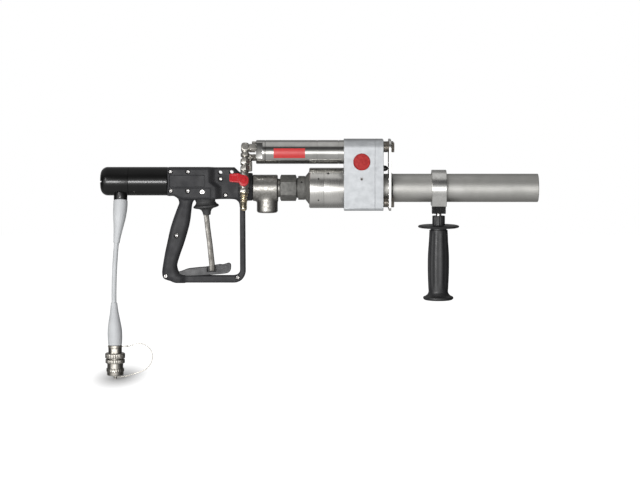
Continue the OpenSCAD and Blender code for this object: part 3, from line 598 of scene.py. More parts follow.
def surface(name, colour, second, metallic, rough, patch=12, grain=None, lines=None, specular=0.5):
    """A procedural material in the gun's own coordinates; lengths are in millimetres.

    Colours are (r, g, b) or one grey level. patch is the size of the cloudy change from colour to second
    and between the two roughnesses, grain a fine bump as (size, depth), and lines a machined one as
    (stretch in x, y, z, depth).
    """
    material = bpy.data.materials.new(name)
    material.use_nodes = True
    tree = material.node_tree
    add = partial(add_node, tree)
    where = add("VectorMath", {0: add("TexCoord").outputs["Object"], "Scale": 1 / MM}, operation="SCALE")

    def noise(scale, detail, stretch=None):
        place = add("VectorMath", {0: where, 1: stretch}, operation="MULTIPLY") if stretch else where
        return add("TexNoise", {"Vector": place, "Scale": scale, "Detail": detail}).outputs["Fac"]

    def mapped(value, start, end, low, high):
        limits = {"From Min": start, "From Max": end, "To Min": low, "To Max": high}
        return add("MapRange", {"Value": value, **limits})

    first, last = [tone if isinstance(tone, tuple) else (tone,) * 3 for tone in (colour, second)]
    clouds = noise(1 / patch, 5)
    mix = add("Mix", {"A": (*first, 1), "B": (*last, 1), "Factor": mapped(clouds, 0.35, 0.65, 0, 1)},
              data_type="RGBA")
    streaks = noise(1, 3, lines[:3]) if lines else clouds
    inputs = {
        "Base Color": mix.outputs["Result"], "Roughness": mapped(streaks, 0.3, 0.7, *rough),
        "Metallic": metallic, "Specular IOR Level": specular
    }
    bumps = [(noise(1 / grain[0], 2), grain[1])] if grain else []
    if lines:
        bumps.append((streaks, lines[3]))
    for texture, depth in bumps:
        below = {"Normal": inputs["Normal"]} if "Normal" in inputs else {}
        inputs["Normal"] = add("Bump", {"Distance": depth * MM, "Height": texture, **below})
    feed(tree, tree.nodes["Principled BSDF"], inputs)
    return material


# The stretch that draws fine grooves round the gun's length
TURNED = (6, 0.05, 0.05)
MATERIALS = {name: surface(name, *values) for name, *values in (
    ("black_anodised", 0.0042, 0.003, 0, (0.22, 0.24), 30, None, None, 0.32),
    ("grey_cable_jacket", (0.47, 0.48, 0.49), (0.41, 0.42, 0.43), 0, (0.55, 0.7), 30, (0.5, 0.02)),
    ("nickel_plate", (0.46, 0.44, 0.40), (0.26, 0.245, 0.22), 1, (0.2, 0.4), 4, (0.5, 0.02)),
    ("insulator", 0.05, 0.04, 0, (0.4, 0.55)),
    ("wire_rope", (0.60, 0.57, 0.50), (0.5, 0.46, 0.4), 1, (0.3, 0.45), 4),
    ("housing_plastic", (0.030, 0.030, 0.032), (0.022, 0.022, 0.024), 0, (0.5, 0.64), 18, (0.45, 0.05), None,
     0.22),
    ("screw_steel", (0.46, 0.45, 0.44), (0.26, 0.25, 0.24), 1, (0.25, 0.45), 2.5),
    ("sensor_plastic", (0.03, 0.04, 0.06), (0.024, 0.032, 0.048), 0, (0.4, 0.5)),
    ("cast_trigger", (0.21, 0.202, 0.188), (0.15, 0.143, 0.13), 0.9, (0.42, 0.6), 8, (0.6, 0.05)),
    ("black_rubber", (0.018, 0.018, 0.019), 0.028, 0, (0.5, 0.75), 7, (0.5, 0.03)),
    ("spring_steel", 0.5, 0.4, 1, (0.25, 0.4), 3),
    ("latch_plastic", (0.052, 0.052, 0.054), (0.038, 0.038, 0.040), 0, (0.42, 0.56), 9, (0.5, 0.04)),
    ("stainless_cast", (0.36, 0.35, 0.33), (0.22, 0.212, 0.196), 1, (0.28, 0.5), 4.5, (0.9, 0.08)),
    ("dark_steel", (0.12, 0.118, 0.110), (0.085, 0.083, 0.077), 0.25, (0.5, 0.66), 5, (0.5, 0.03)),
    ("seal_polymer", (0.75, 0.72, 0.62), (0.6, 0.576, 0.496), 0, (0.4, 0.5)),
    ("stainless_turned", (0.62, 0.61, 0.585), (0.55, 0.54, 0.515), 1, (0.2, 0.36), 22, (0.5, 0.006),
     (*TURNED, 0.01)),
    ("stainless_ground", (0.46, 0.455, 0.437), (0.40, 0.395, 0.377), 1, (0.09, 0.17), 18, (0.5, 0.004),
     (*TURNED, 0.005)),
    ("bearing_steel", 0.6, 0.48, 1, (0.12, 0.2)),
    ("lance_steel", (0.45, 0.44, 0.42), (0.36, 0.352, 0.336), 1, (0.25, 0.38), 12, None, (*TURNED, 0.01)),
    ("gear_steel", 0.3, (0.24, 0.23, 0.22), 1, (0.25, 0.4), 6),
    ("insert_metal", (0.7, 0.55, 0.3), (0.56, 0.44, 0.24), 1, (0.2, 0.3)),
    ("milled_aluminium", (0.42, 0.433, 0.446), (0.35, 0.362, 0.375), 0.45, (0.42, 0.56), 13, (1.0, 0.02),
     (0.25, 0.25, 1.6, 0.014)),
    ("fastener_steel", (0.30, 0.28, 0.25), (0.15, 0.13, 0.11), 1, (0.28, 0.5), 3, (0.7, 0.03)),
    ("black_cap", 0.014, 0.0112, 0, (0.3, 0.4)),
    ("red_badge", (0.38, 0.030, 0.028), (0.27, 0.018, 0.018), 0, (0.5, 0.65), 4, (1.6, 0.12), None, 0.15),
    ("red_label", (0.50, 0.030, 0.030), (0.44, 0.025, 0.025), 0, (0.3, 0.42), 10),
    ("fitting_steel", (0.60, 0.58, 0.54), (0.34, 0.325, 0.295), 1, (0.26, 0.46), 3, (0.5, 0.02)),
    ("sintered_bronze", (0.50, 0.48, 0.44), (0.30, 0.285, 0.255), 1, (0.3, 0.5), 2.5, (0.5, 0.06)),
    ("red_lever", (0.44, 0.012, 0.018), (0.33, 0.010, 0.014), 0, (0.28, 0.42), 6, (1.2, 0.04)),
    ("brass", (0.80, 0.71, 0.53), (0.55, 0.48, 0.34), 1, (0.16, 0.32), 2.5, (0.5, 0.015)),
    ("blasted_stainless", (0.46, 0.455, 0.435), (0.41, 0.405, 0.385), 1, (0.5, 0.6), 26, (0.7, 0.03)),
    ("plate_stainless", (0.60, 0.595, 0.575), (0.50, 0.495, 0.475), 1, (0.2, 0.3), 9, (0.6, 0.015)),
    ("handle_plastic", (0.019, 0.019, 0.020), (0.014, 0.014, 0.015), 0, (0.38, 0.5), 14, (0.6, 0.03)),
)}
SLOTS = {part["node"]: part["material_slot"] for part in frame["record"]["subparts"]}


def paint(piece, slot):
    """Gives a piece its material, and files it under that slot."""
    piece.data.materials.clear()
    piece.data.materials.append(MATERIALS[slot])


def fit(piece, *nodes, body="gun"):
    """Lets a finished piece stand for CAD nodes: it rides on their body and wears their material."""
    dress(piece, SLOTS[nodes[0]], body)
    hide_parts(*nodes)
    return piece


def dress(piece, slot, body="gun"):
    """Finishes a piece that stands for no node, such as a small detail."""
    paint(piece, slot)
    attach(piece, body)
    return piece


# ---------- Cable, boots and lanyard ----------

GLAND_MOUTH = (36, -9, -21.5)
PLUG, PLUG_Z = (25.8, -27), -281
AT_PLUG = upright(*PLUG, PLUG_Z)
CABLE_R = 4.4
CABLE_ROUTE = [
    GLAND_MOUTH, (36, -11.01, -29), (35.6, -13, -37), (35, -14.7, -45), (34.3, -16.4, -54),
    (33.3, -18.2, -64), (32, -19.9, -75), (30.6, -21.4, -86), (29.3, -22.7, -98), (28.2, -23.8, -111),
    (27.2, -24.7, -125), (26.2, -25.4, -140), (25.5, -26, -156), (24.9, -26.5, -172), (24.6, -26.8, -188),
    (24.6, -26.9, -204), (24.8, -27, -220), (25.1, -27, -236), (25.5, -27, -252), (25.8, -27, -267),
    (25.8, -27, -281)
]
# Radii of the two boots at the points of the route that they cover
UPPER_BOOT_R = [12.6, 12.7, 12.5, 12, 11, 9.4, 7.8, 6.6, 5.6]
LOWER_BOOT_R = [5.6, 7.4, 10.2, 12.6, 13, 12.2]
LANYARD_R = 0.6
LANYARD_ROUTE = [(x, PLUG[1], z) for x, z in [
    (38, -283), (43, -283), (48.5, -283), (55, -281.8), (61.5, -279.4), (69, -278), (77, -279.4),
    (84, -283.4), (89.5, -289.4), (92.4, -297), (92.6, -305), (90.4, -313), (85.8, -320), (79.4, -325.6),
    (71, -329.4), (62, -332.2), (52.5, -335), (43.5, -337.4), (36, -338.6), (28.8, -339)
]]


def length_m(route):
    return sum((Vector(b) - Vector(a)).length for a, b in zip(route, route[1:])) * MM


def make_boot(node, route, radii):
    """A moulded strain relief with rounded ends."""
    line = smooth_line([(*p, r) for p, r in zip(route, radii)])
    # Extra rings round off both rims
    ends = ((0.0, -1.6), (0.25, -0.7), (0.8, -0.2), (1.6, 0))
    steps = [0.0]
    for a, b in zip(line, line[1:]):
        steps.append(steps[-1] + (Vector(b[:3]) - Vector(a[:3])).length)
    total = steps[-1]
    at = sorted([s for s, _ in ends] + [total - s for s, _ in ends] + [s for s in steps if 2 < s < total - 2])
    columns = [np.interp(at, steps, [p[k] for p in line]) for k in range(4)]
    loss = np.interp(at, [s for s, _ in ends], [d for _, d in ends])
    loss += np.interp(total - np.array(at), [s for s, _ in ends], [d for _, d in ends])
    path = list(zip(*columns[:3]))
    fit(swept(node + "_moulded", path, columns[3] + loss, 64), node)


def make_cable():
    route = smooth_line(CABLE_ROUTE)
    curve = bpy.data.curves.new("signal_cable", "CURVE")
    curve.dimensions = "3D"
    curve.bevel_depth = CABLE_R * MM
    curve.bevel_resolution = 8
    spline = curve.splines.new("POLY")
    spline.points.add(len(route) - 1)
    for point, place in zip(spline.points, route):
        point.co = (*gun(*place), 1)
    return fit(link("signal_cable", curve), "cable"), length_m(route)


# ---------- Stock ----------

def make_stock():
    edge_r = 13
    rear = [(edge_r * (1 - sin(a)), STOCK_R - edge_r + edge_r * cos(a)) for a in np.linspace(pi / 2, 0, 13)]
    cap = turned("stock_cap_turned", rear + [
        (50.0, STOCK_R), (50.4, STOCK_R - 0.5), (50.4, 21.9), (68, 21.9)
    ], along_x(0, STOCK_Z), 128)
    carve(cap, build_box("coin_slot", (-1, -30, STOCK_Z - 1.5), (3, 30, STOCK_Z + 1.5)))
    fit(bevel(cap, 0.35, 2), "stock_rear_cap")

    body = hollow("stock_tube_turned", [
        (50.4, 22), (50.4, STOCK_R - 0.5), (50.8, STOCK_R), (119.8, STOCK_R), (120.4, STOCK_R - 0.6),
        (120.4, 13.5), (147, 13.5), (147, 9), (116, 9), (116, 22)
    ], along_x(0, STOCK_Z), 128)
    grub = upright(60.8, 0, STOCK_Z) @ rotation(135)
    carve(body, rod("grub_hole", grub, 20, 30, 2.3, 0, 32))
    fit(body, "stock_tube")

    collar = turned("gland_collar", [
        (16, 12.2), (33.4, 12.2), (34.2, 11.8), (34.6, 11)
    ], upright(36, 0, STOCK_Z) @ rotation(180 - GLAND_TILT))
    fit(collar, "cable_gland")
    return grub


# ---------- Connector ----------

def make_connector():
    shell = turned("plug_shell", [
        (0, 11.6), (-0.6, 12.2), (-3.4, 12.2), (-3.8, 11.9), (-4.2, 12.2), (-17, 12.2), (-17, 13),
        (-32.7, 13), (-32.7, 14.3), (-46, 14.3), (-46, 11), (-30, 11)
    ], AT_PLUG)
    x, y = PLUG
    for side in (-14.2, 14.2):
        low, high = (x - 8, y + side - 3, PLUG_Z - 16.9), (x + 8, y + side + 3, PLUG_Z - 6)
        carve(shell, build_box("spanner_flat", low, high))
    fit(shell, "connector_shell")

    pins = [rod("pin", AT_PLUG @ upright(6.5 * cos(a), 6.5 * sin(a)), -43, -37, 1, 0.4, 16)
            for a in np.radians(range(0, 360, 60))]
    core = rod("insert_core", AT_PLUG, -38, -30.2, 11, 0.3)
    fit(merge("plug_insert", core, *pins), "connector_insert")

    knurls = [ribbed(15, 0.55, low, high, 16.9, 0.7) for low, high in ((-22.7, -15.3), (-31.4, -25.9))]
    ring = hollow("plug_ring", [
        (-14, 12.3), (-14, 16.4), (-14.9, 17.6), (-15.4, 18), (-22.6, 18), (-23.1, 17.6), (-24, 15.6),
        (-24.8, 15.6), (-25.4, 17.1), (-26, 17.5), (-31.3, 17.5), (-32, 17), (-32.6, 16), (-32.6, 13.1),
        (-17, 13.1), (-17, 12.3)
    ], AT_PLUG, 180, relief=lambda *at: min(knurl(*at) for knurl in knurls), ease=0.25, steps=2)
    fit(ring, "connector_ring", body="coupling_ring")

    cap = hollow("plug_cap", [
        (-41.6, 14.4), (-41.6, 16), (-47.2, 16), (-47.6, 15), (-53.4, 15), (-54.2, 14.2), (-54.2, 3.4),
        (-55.2, 3), (-60.6, 3), (-60.6, 0), (-47, 0), (-47, 14.4)
    ], AT_PLUG, 128, relief=ribbed(12, 0.45, -46.9, -41.9, 15.8), ease=0.4)
    carve(cap, rod("cap_eye", along_y(x, -339), y - 6, y + 6, 1.3, 0, 24))
    fit(cap, "dust_cap", body="connector_cap")


def make_lanyard():
    """Twisted wire from the plug to its cap, with a crimped sleeve near each end."""
    route = smooth_line(LANYARD_ROUTE)
    wire = swept("lanyard_wire", route, [LANYARD_R] * len(route), 12)
    paint(wire, "wire_rope")
    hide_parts("lanyard")
    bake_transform(wire)
    for end, at, body in (("top", 9, "gun"), ("low", len(route) - 12, "connector_cap")):
        sleeve = swept("lanyard_sleeve_" + end, route[at:at + 5], [1.2, 1.5, 1.5, 1.5, 1.2], 16)
        dress(sleeve, "fitting_steel", body)
    clip = hollow("lanyard_clip", [
        (-1, 12.1), (-1, 12.9), (-3.4, 12.9), (-3.4, 12.1)
    ], AT_PLUG, 64, ease=0.3)
    dress(clip, "wire_rope")
    return wire, route


# ---------- Grip housing ----------

REAR_HALF_W, FRONT_HALF_W, GRIP_HALF_W, GUARD_HALF_W, CHANNEL_HALF_W = 24.5, 15, 15, 9, 6.6
SHELL_SCREWS = [
    (126.4, 30.2, 18), (158, 30.2, 18), (126.9, -4, 18), (157.5, -4, 18), (215.8, 16.6, 9.5),
    (224.5, -12.6, 9.5), (136.3, -85, 9.5), (245.7, -161.2, 4.5)
]
STRAP_HOLES = [(215.3, 28.3), (235.4, 28.8)]
TRIGGER_PIVOT = tuple(gun_mm(joints["trigger_pull"]["pos_m"]))[::2]
LATCH_PIVOT = tuple(gun_mm(joints["latch_press"]["pos_m"]))[::2]
TRIGGER_LINE = [
    (184, -6), (186.2, -26), (189.5, -50.4), (192.1, -74.3), (195.3, -99.7), (197.8, -124.9),
    (199.4, -141.3), (199.3, -150.3)
]
PAD_PITCH, KNURL_PITCH = 2.6, 3.6
TRIGGER_HALF_W = [5, 5, 4.7, 4.6, 4.8, 5, 5.1, 5]


def grip_outline():
    rear = smooth_line([
        (122, 0), (122, -12.9), (130, -13.3), (138.2, -18.7), (140.8, -26.5), (138.2, -34), (130.7, -54.2),
        (124.4, -74.3), (119.2, -97.2), (114.8, -117.4), (110.3, -143.8), (109.6, -154.5), (112.4, -163),
        (120.5, -166.6)
    ])
    front = smooth_line([
        (147.1, -157.1), (140.2, -152.5), (136.8, -144), (137, -136), (142, -119.9), (148.3, -102.2),
        (154.6, -81.9), (159.7, -61.7), (162.2, -42.8), (163.6, -32), (165.6, -25), (170, -19.6)
    ])
    return rear + [(134.5, -170.6), (150, -170.6), (150, -157.3)] + front + [(170, 0)]


def guard_outline():
    return arc_corners([
        (128, -168.8, 0), (134.5, -170.6, 8), (260, -170.6, 21), (259.2, -10, 0), (249.8, -10, 0),
        (249.8, -157.3, 10), (128, -157.3, 0)
    ])


def guard_fillet(x, radius, way):
    """The curved web between the nose and the guard post."""
    arc = [(x + radius * way * sin(a), -19.4 - radius + radius * cos(a))
           for a in np.linspace(0, pi / 2, 9)]
    return arc + [(x + radius * way, -14), (x, -14)]


def make_housing(step):
    clay = Clay((107, -27, -173), (275, 27, 40.5), step)
    x, y, z = clay.x, clay.y, clay.z

    # The upper body narrows from the cheeks to the nose in one soft step, further forward low down
    step_x = 200 + 12 * np.clip((12 - z) / 10, 0, 1)
    wide = np.clip((step_x + 7 - x) / 14, 0, 1)
    half_width = FRONT_HALF_W + (REAR_HALF_W - FRONT_HALF_W) * wide * wide * (3 - 2 * wide)
    upper = [(120.4, 36.6), (240, 36.6), (252.5, 24.5), (256, 10), (256, -19.4), (150, -19.4), (133, -13),
             (120.4, -13)]
    clay.add(clay.slab(upper, half_width, 4.5))
    clay.add(clay.rod_x(249, 273, 25, z=2, edge=2.2), 5)
    clay.add(clay.slab(grip_outline(), GRIP_HALF_W, 9.5), 4)
    # The guard's bar grows out of the grip's foot without a step
    width = GUARD_HALF_W + (GRIP_HALF_W - GUARD_HALF_W) * np.clip((158 - x) / 16, 0, 1) ** 2
    guard = clay.outline(guard_outline())
    clay.add(clay.rim(guard, np.abs(y) - width, 3.4), 3)
    for corner in ((236.5, 13.3, 1), (272.4, 13.3, -1)):
        clay.add(clay.slab(guard_fillet(*corner), GUARD_HALF_W, 3), 2)

    # Plain recessed panels on both cheeks, and the step of the lower cheek
    panel = arc_corners([(124.5, 3, 2), (188, 3, 2), (188, 24, 2), (124.5, 24, 2)])
    clay.cut(clay.rim(clay.outline(panel), REAR_HALF_W - 2.2 - np.abs(y), 0.3))
    band = clay.outline([(122, -17.3), (199, -17.3), (199, 1.1), (122, 1.1)])
    clay.cut(clay.rim(np.abs(band) - 0.6, REAR_HALF_W - 0.9 - np.abs(y), 0.2))

    for *screw, seat in SHELL_SCREWS:
        clay.cut(clay.rod_y(-40, -seat, 3.6, *screw))
        clay.cut(clay.rod_y(-40, -seat - 3.4, 4.2, *screw), 0.6)
    for hole in STRAP_HOLES:
        clay.cut(clay.rod_y(-40, 40, 3.5, *hole), 1.2)
    clay.cut(clay.rod_y(-40, 40, 4.35, *TRIGGER_PIVOT), 0.6)
    clay.cut(clay.rod_y(-40, 40, 3.15, *LATCH_PIVOT), 0.6)

    chamber = [(174, -22), (168, -17.5), (168, 14), (208, 14), (208, -17.5), (204, -22)]
    channel = [(111.2, -153.6), (112.2, -163.6), (125, -163.4), (150, -166), (239, -166), (239, -150),
               (147, -147), (118, -150.2)]
    clay.cut(clay.slab(chamber, CHANNEL_HALF_W, 0.2))
    clay.cut(clay.slab(channel, CHANNEL_HALF_W, 0.8), 0.6)
    clay.cut(clay.rod_x(110, 148, 13.5, z=STOCK_Z))
    clay.cut(clay.rod_x(262, 280, 10))
    # The parting line of the two shells
    clay.cut(np.maximum(np.abs(y) - 0.4, -(clay.d + 0.55)))

    whole = clay.d
    for side, node in ((-1, "grip_shell_right"), (1, "grip_shell_left")):
        clay.d = np.maximum(whole, -side * y + 0.05)
        fit(clay.skin(node + "_moulded"), node)


def make_housing_screws(grub):
    screws = []
    for x, z, seat in SHELL_SCREWS:
        head = [(seat, 3.1), (seat + 2.4, 3.1), (seat + 2.4, 1.8), (seat + 0.8, 1.6)]
        screws.append(turned("head", head, upright(x, 0, z) @ rotation(90), 48, ease=0.6))
    screws.append(turned("grub", [(19, 2), (24.4, 2), (24.4, 1), (22.6, 1)], grub, 32, ease=0.2))
    fit(merge("shell_screws", *screws), "housing_screws")


def pin_piece(name, node, pivot, radius, half_length):
    """A pin across the gun with dished ends."""
    half = [(0.8 - half_length, 0), (-half_length, 0.45 * radius), (-half_length, radius)]
    profile = half + [(-station, r) for station, r in half[::-1]]
    fit(turned(name, profile, along_y(*pivot), 64, ease=0.5), node)


# ---------- Trigger and latch ----------

def make_trigger():
    clay = Clay((174, -6, -156), (208, 6, 12), 0.45)
    blade = clay.outline(ribbon(TRIGGER_LINE, TRIGGER_HALF_W))
    # Thinner towards the front edge, as a cast lever that fits the fingers
    line_x, line_z = zip(*TRIGGER_LINE[::-1])
    centre = np.interp(clay.z[0, 0, :], line_z, line_x)
    lean = np.clip((clay.x - centre[None, None, :]) / 5, -1, 1)
    clay.add(clay.rim(blade, np.abs(clay.y) - (3.9 - 1.3 * np.clip(lean, 0, 1)), 1.8))
    clay.add(clay.rod_y(-3.9, 3.9, 8.5, *TRIGGER_PIVOT, edge=0.8), 2)
    clay.add(clay.slab([(178.5, -4), (180.5, 9), (190.5, 9), (191.5, -4)], 3.9, 0.8), 1)
    clay.cut(clay.rod_y(-10, 10, 4.35, *TRIGGER_PIVOT))
    fit(clay.skin("trigger_cast"), "trigger", body="trigger_lever")


def make_boot_of_trigger():
    """The rubber boot follows the trigger where it grips it, and the housing at its top."""
    middle = upright(189, 0, -33) @ rotation(-5.5, "Y") @ Matrix.Diagonal((1, 0.76, 1, 1))
    boot = turned("trigger_boot_moulded", [
        (14.5, 19.2), (13.4, 19.2), (8, 17), (3.6, 19.4), (1.4, 22.8), (-0.6, 23.2), (-2, 22),
        (-3.2, 18), (-4.3, 12.6), (-6.6, 9.2), (-10.6, 7.6), (-15.4, 6.7), (-16.2, 6)
    ], middle, ease=1.6, steps=4)
    carve(boot, build_box("boot_roof", (150, -40, -19.5), (230, 40, 0)))
    paint(boot, "black_rubber")
    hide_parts("trigger_boot")
    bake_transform(boot)


def cross_cuts(clay, pitch):
    """A wave along both diagonals of the side view, from -1 to 1."""
    return np.sin((clay.x + clay.z) * 2 * pi / pitch) * np.sin((clay.x - clay.z) * 2 * pi / pitch)


def make_latch():
    top = smooth_line([
        (116.6, -153.4), (128, -152.6), (141, -150.8), (150, -147.6), (158, -145.1), (175, -143.1),
        (190.8, -142)
    ])
    pad = smooth_line([
        (208.4, -138.4), (213, -137.6), (219, -138), (225, -136.3), (229.7, -135.2), (233, -137.2)
    ])
    under = smooth_line([
        (233.6, -140), (233, -147.5), (230.2, -151.4), (224, -154), (201, -156.2), (150, -160.2)
    ])
    outline = top + [(190.8, -150.7), (207.9, -150.7)] + pad + under + [(116.6, -162.6)]
    clay = Clay((110, -7.5, -165), (236, 7.5, -133), 0.45)
    clay.add(clay.slab(outline, 6, 1.4))
    clay.add(clay.rod_y(-6, 6, 4.6, *LATCH_PIVOT, edge=0.8), 1)
    # Grooves across and along the thumb pad
    shape = clay.slab([(210, -140.5), (230, -139), (230.5, -149.5), (210, -152)], 9, 0.1)
    clay.d = clay.d + np.where(shape < 0, 0.35 + 0.35 * cross_cuts(clay, PAD_PITCH), 0)
    clay.cut(clay.slab([(160, -153.2), (208, -153.2), (208, -133), (160, -133)], 4.6, 0.1))
    clay.add(clay.slab([(188, -152), (188, -142.2), (209, -138.3), (209, -152)], 0.7, 0.3, 5.3))
    clay.cut(clay.rod_y(-10, 10, 3.15, *LATCH_PIVOT))
    fit(clay.skin("latch_moulded"), "safety_latch", body="latch")


def make_latch_spring():
    """The coil between the guard's floor and the latch, built at its rest length; on the real gun it shortens as
    the latch is pressed.
    """
    x, floor, top, wire, coil_r, turns = 152, -166, -160.4, 0.45, 3, 4
    route = [(x + coil_r * cos(2 * pi * turns * t), coil_r * sin(2 * pi * turns * t),
              floor + wire + (top - floor - 2 * wire) * t) for t in np.linspace(0, 1, 20 * turns + 1)]
    coil = swept("latch_spring_wound", route, [wire] * len(route), 12, across=(0, 0, 1))
    paint(coil, "spring_steel")
    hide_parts("latch_spring")
    gun(x, 0, floor)
    gun(x, 0, top)
    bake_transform(coil)


# ---------- Water line ----------

def make_water_block():
    clay = Clay((272, -25, -46), (339, 25, 25), 0.55)
    clay.add(clay.rod_x(273, 317.9, 23.7, edge=2.2))
    clay.add(clay.rod_z(-44.5, 0, 18.8, 299, 0, edge=4), 4)
    clay.add(clay.rod_x(310, 322.2, 16.6, edge=0.6), 1)
    clay.add(clay.rod_x(320, 337, 14))
    clay.cut(clay.rod_z(-46, -19, 12.4, 299, 0))
    clay.cut(clay.rod_z(-46, -43.4, 14, 299, 0), 1)
    fit(clay.skin("water_block_cast"), "water_block")

    pitch = 1.5
    thread = [(-19, 12.8), (-44, 12.8), (-44, 12)]
    for station in np.arange(-43.4, -20, pitch):
        thread += [(station, 12), (station + pitch / 2, 11.05)]
    thread.append((-19, 11.05))
    dress(hollow("port_thread", thread, upright(299, 0), 72, sharp=20), "stainless_cast")


def make_union():
    nut = hexagon("union_nut_hex", along_x(), 322.2, 351.7, 41, 0.045, 30)
    carve(nut, rod("nut_bore", along_x(), 351, 353, 17.5, 0), rod("nut_back", along_x(), 321, 322.8, 18.5, 0))
    fit(nut, "union_nut")

    collar = turned("packing_gland_turned", [
        (351.7, 17.5), (352.6, 18), (354.2, 18), (354.4, 20.7), (355.2, 21.5),
        *((station, 21.5) for station in np.linspace(355.8, 365.8, 6)),
        (366.2, 21.5), (367, 20.7), (367.4, 20.8), (373.8, 29), (374.2, 28.6)
    ], along_x(), 180, relief=ribbed(30, 0.4, 356, 365.6, 21, 0.8), ease=0.3, steps=2)
    for angle in range(58, 360, 90):
        carve(collar, rod("spanner_hole", upright(361, 0) @ rotation(angle), 15, 24, 1.9, 0, 24))
    fit(collar, "packing_gland")


def make_swivel():
    body = turned("swivel_turned", [
        (374.2, 34.6), (376, 36.2), (400.6, 36.2), (400.9, 35.9), (401.2, 36.2), (436.5, 36.2)
    ], along_x(), 160, ease=0.25, steps=2)
    for x, angle, radius in ((408.4, 49, 2.2), (391, 30, 1.5), (391, -34, 1.5)):
        carve(body, rod("weep_hole", upright(x, 0) @ rotation(90 - angle), 24, 38, radius, 0, 24))
    fit(body, "swivel_housing")


# ---------- Gearbox, flange plate and barrel ----------

GEARBOX_HALF_W = 38
FACE_Y = -GEARBOX_HALF_W
COVER_X, COVER_FRONT_X, PLATE_X = 491.8, 506.8, 516.6
BARREL_R, MUZZLE_X = 25.4, 785
MOTOR_Z = gun_mm(joints["motor_spin"]["pos_m"]).z
PLATE_BOLTS = [(-25, 74), (25, 74), (-25, -24.4), (25, -24.4)]
COVER_SCREWS = [(-30, 52), (30, 52), (-31.5, 16), (31.5, 16)]
GEARBOX_LOW, GEARBOX_TOP = -38.9, 87.5
BADGE = (468, 48.5)
VENT = (468, 18.1)


def gearbox_section():
    return arc_corners([
        (-GEARBOX_HALF_W, GEARBOX_LOW, 6), (GEARBOX_HALF_W, GEARBOX_LOW, 6),
        (GEARBOX_HALF_W, GEARBOX_TOP, 15), (-GEARBOX_HALF_W, GEARBOX_TOP, 15)
    ], 6)


def make_gearbox():
    body = prism("gearbox_milled", gearbox_section(), 436.5, COVER_X, "cross", 0.7)
    seat = rod("badge_seat", along_y(*BADGE), FACE_Y - 2, FACE_Y + 1.2, 15.4, 0)
    vent = rod("vent", along_y(*VENT), FACE_Y - 2, FACE_Y + 8, 2.4, 0, 32)
    sink = rod("vent_sink", along_y(*VENT), FACE_Y - 2, FACE_Y + 0.5, 3.5, 0, 32)
    # A shallow milled step below the motor's half of the body
    step = build_box("milled_step", (430, FACE_Y - 2, -50), (453, FACE_Y + 0.35, 30))
    carve(body, seat, vent, sink, step)
    fit(weighted(body), "gearbox_body")
    ring = hollow("vent_ring", [(-38, 1.7), (-38, 2.35), (-35, 2.35), (-35, 1.7)],
                  along_y(*VENT), 32, ease=0.2)
    dress(ring, "fastener_steel")

    cover = prism("gearbox_cover_milled", gearbox_section(), COVER_X, COVER_FRONT_X, "cross", 0.7)
    holes = [rod("screw_sink", along_x(y, z), COVER_FRONT_X - 5, COVER_FRONT_X + 1, 4.6, 0, 32)
             for y, z in COVER_SCREWS]
    pocket = build_box("cover_pocket", (494, FACE_Y - 2, 31.4), (505.4, FACE_Y + 0.6, 39.8))
    carve(cover, *holes, pocket)
    fit(weighted(cover), "gearbox_cover")

    dome = [(-37, 0), (-37, 15), (-39, 15), (-39.5, 14.4), (-39.5, 13.4), (-38.9, 13), (-39.1, 11),
            (-39.6, 6), (-39.7, 0)]
    fit(turned("badge_dome", dome, along_y(*BADGE), ease=0.3), "badge")

    fit(turned("grease_dome", [
        (506.6, 6), (507.6, 6), (507.6, 5.2), (511, 5), (513.6, 3.8), (515.1, 1.8), (515.4, 0)
    ], along_x(-15, 36), 48, ease=0.5), "grease_nipple")


def make_flange():
    plate = prism("flange_plate_cut", gearbox_section(), PLATE_X, PLATE_X + 4, "cross", 0.4)
    carve(plate, rod("plate_bore", along_x(), PLATE_X - 1, PLATE_X + 5, BARREL_R - 1, 0))
    fit(weighted(plate), "flange_plate")

    parts = []
    for y, z in PLATE_BOLTS:
        place = along_x(y, z)
        head = hexagon("head", place, PLATE_X + 5.2, PLATE_X + 9.4, 17.3, 0.06)
        low, high = PLATE_X + 4, PLATE_X + 5.2
        washer = hollow("washer", [(low, 4), (low, 9), (high, 9), (high, 4)], place, 48, ease=0.3)
        parts += [head, washer, rod("shank", place, COVER_X + 2, PLATE_X + 8, 4, 0, 32)]
    for y, z in COVER_SCREWS:
        parts.append(turned("screw", [
            (478, 2.5), (501.8, 2.5), (501.8, 4.2), (506.2, 4.2), (506.2, 2), (503.6, 1.9)
        ], along_x(y, z), 32, ease=0.35))
    fit(merge("gearbox_bolts", *parts), "gearbox_fasteners")

    stacks = []
    for y, z in PLATE_BOLTS:
        rings = []
        for k in range(4):
            start = COVER_FRONT_X + 2.45 * k
            rings += [(start, 8.1), (start + 0.5, 8.8), (start + 1.95, 8.8), (start + 2.35, 8.1)]
        stacks.append(hollow("stack", [(COVER_FRONT_X, 4)] + rings + [(PLATE_X, 4)], along_x(y, z), 48))
    fit(merge("washer_stacks", *stacks), "standoffs")


def make_barrel():
    tube_profile = [
        (COVER_FRONT_X, 22), (COVER_FRONT_X, BARREL_R), (PLATE_X, BARREL_R), (600, BARREL_R),
        (690, BARREL_R), (MUZZLE_X - 0.8, BARREL_R), (MUZZLE_X, BARREL_R - 0.8), (MUZZLE_X, 22.6),
        (MUZZLE_X - 0.6, 22)
    ]
    fit(hollow("barrel_drawn", tube_profile, along_x(), 160), "barrel_tube")

    def ripple(station, angle, radius):
        return radius + 0.25 * sin(34 * angle + 2 * sin(3 * angle)) if radius > BARREL_R + 0.3 else radius

    bead = [(520.4, 24.4), (520.4, 28.2), (521.4, 27.6), (522.6, 26.6), (523.8, 25.7), (524.8, 25.1),
            (525, 24.4)]
    dress(hollow("weld_bead", bead, along_x(), 240, relief=ripple), "plate_stainless")


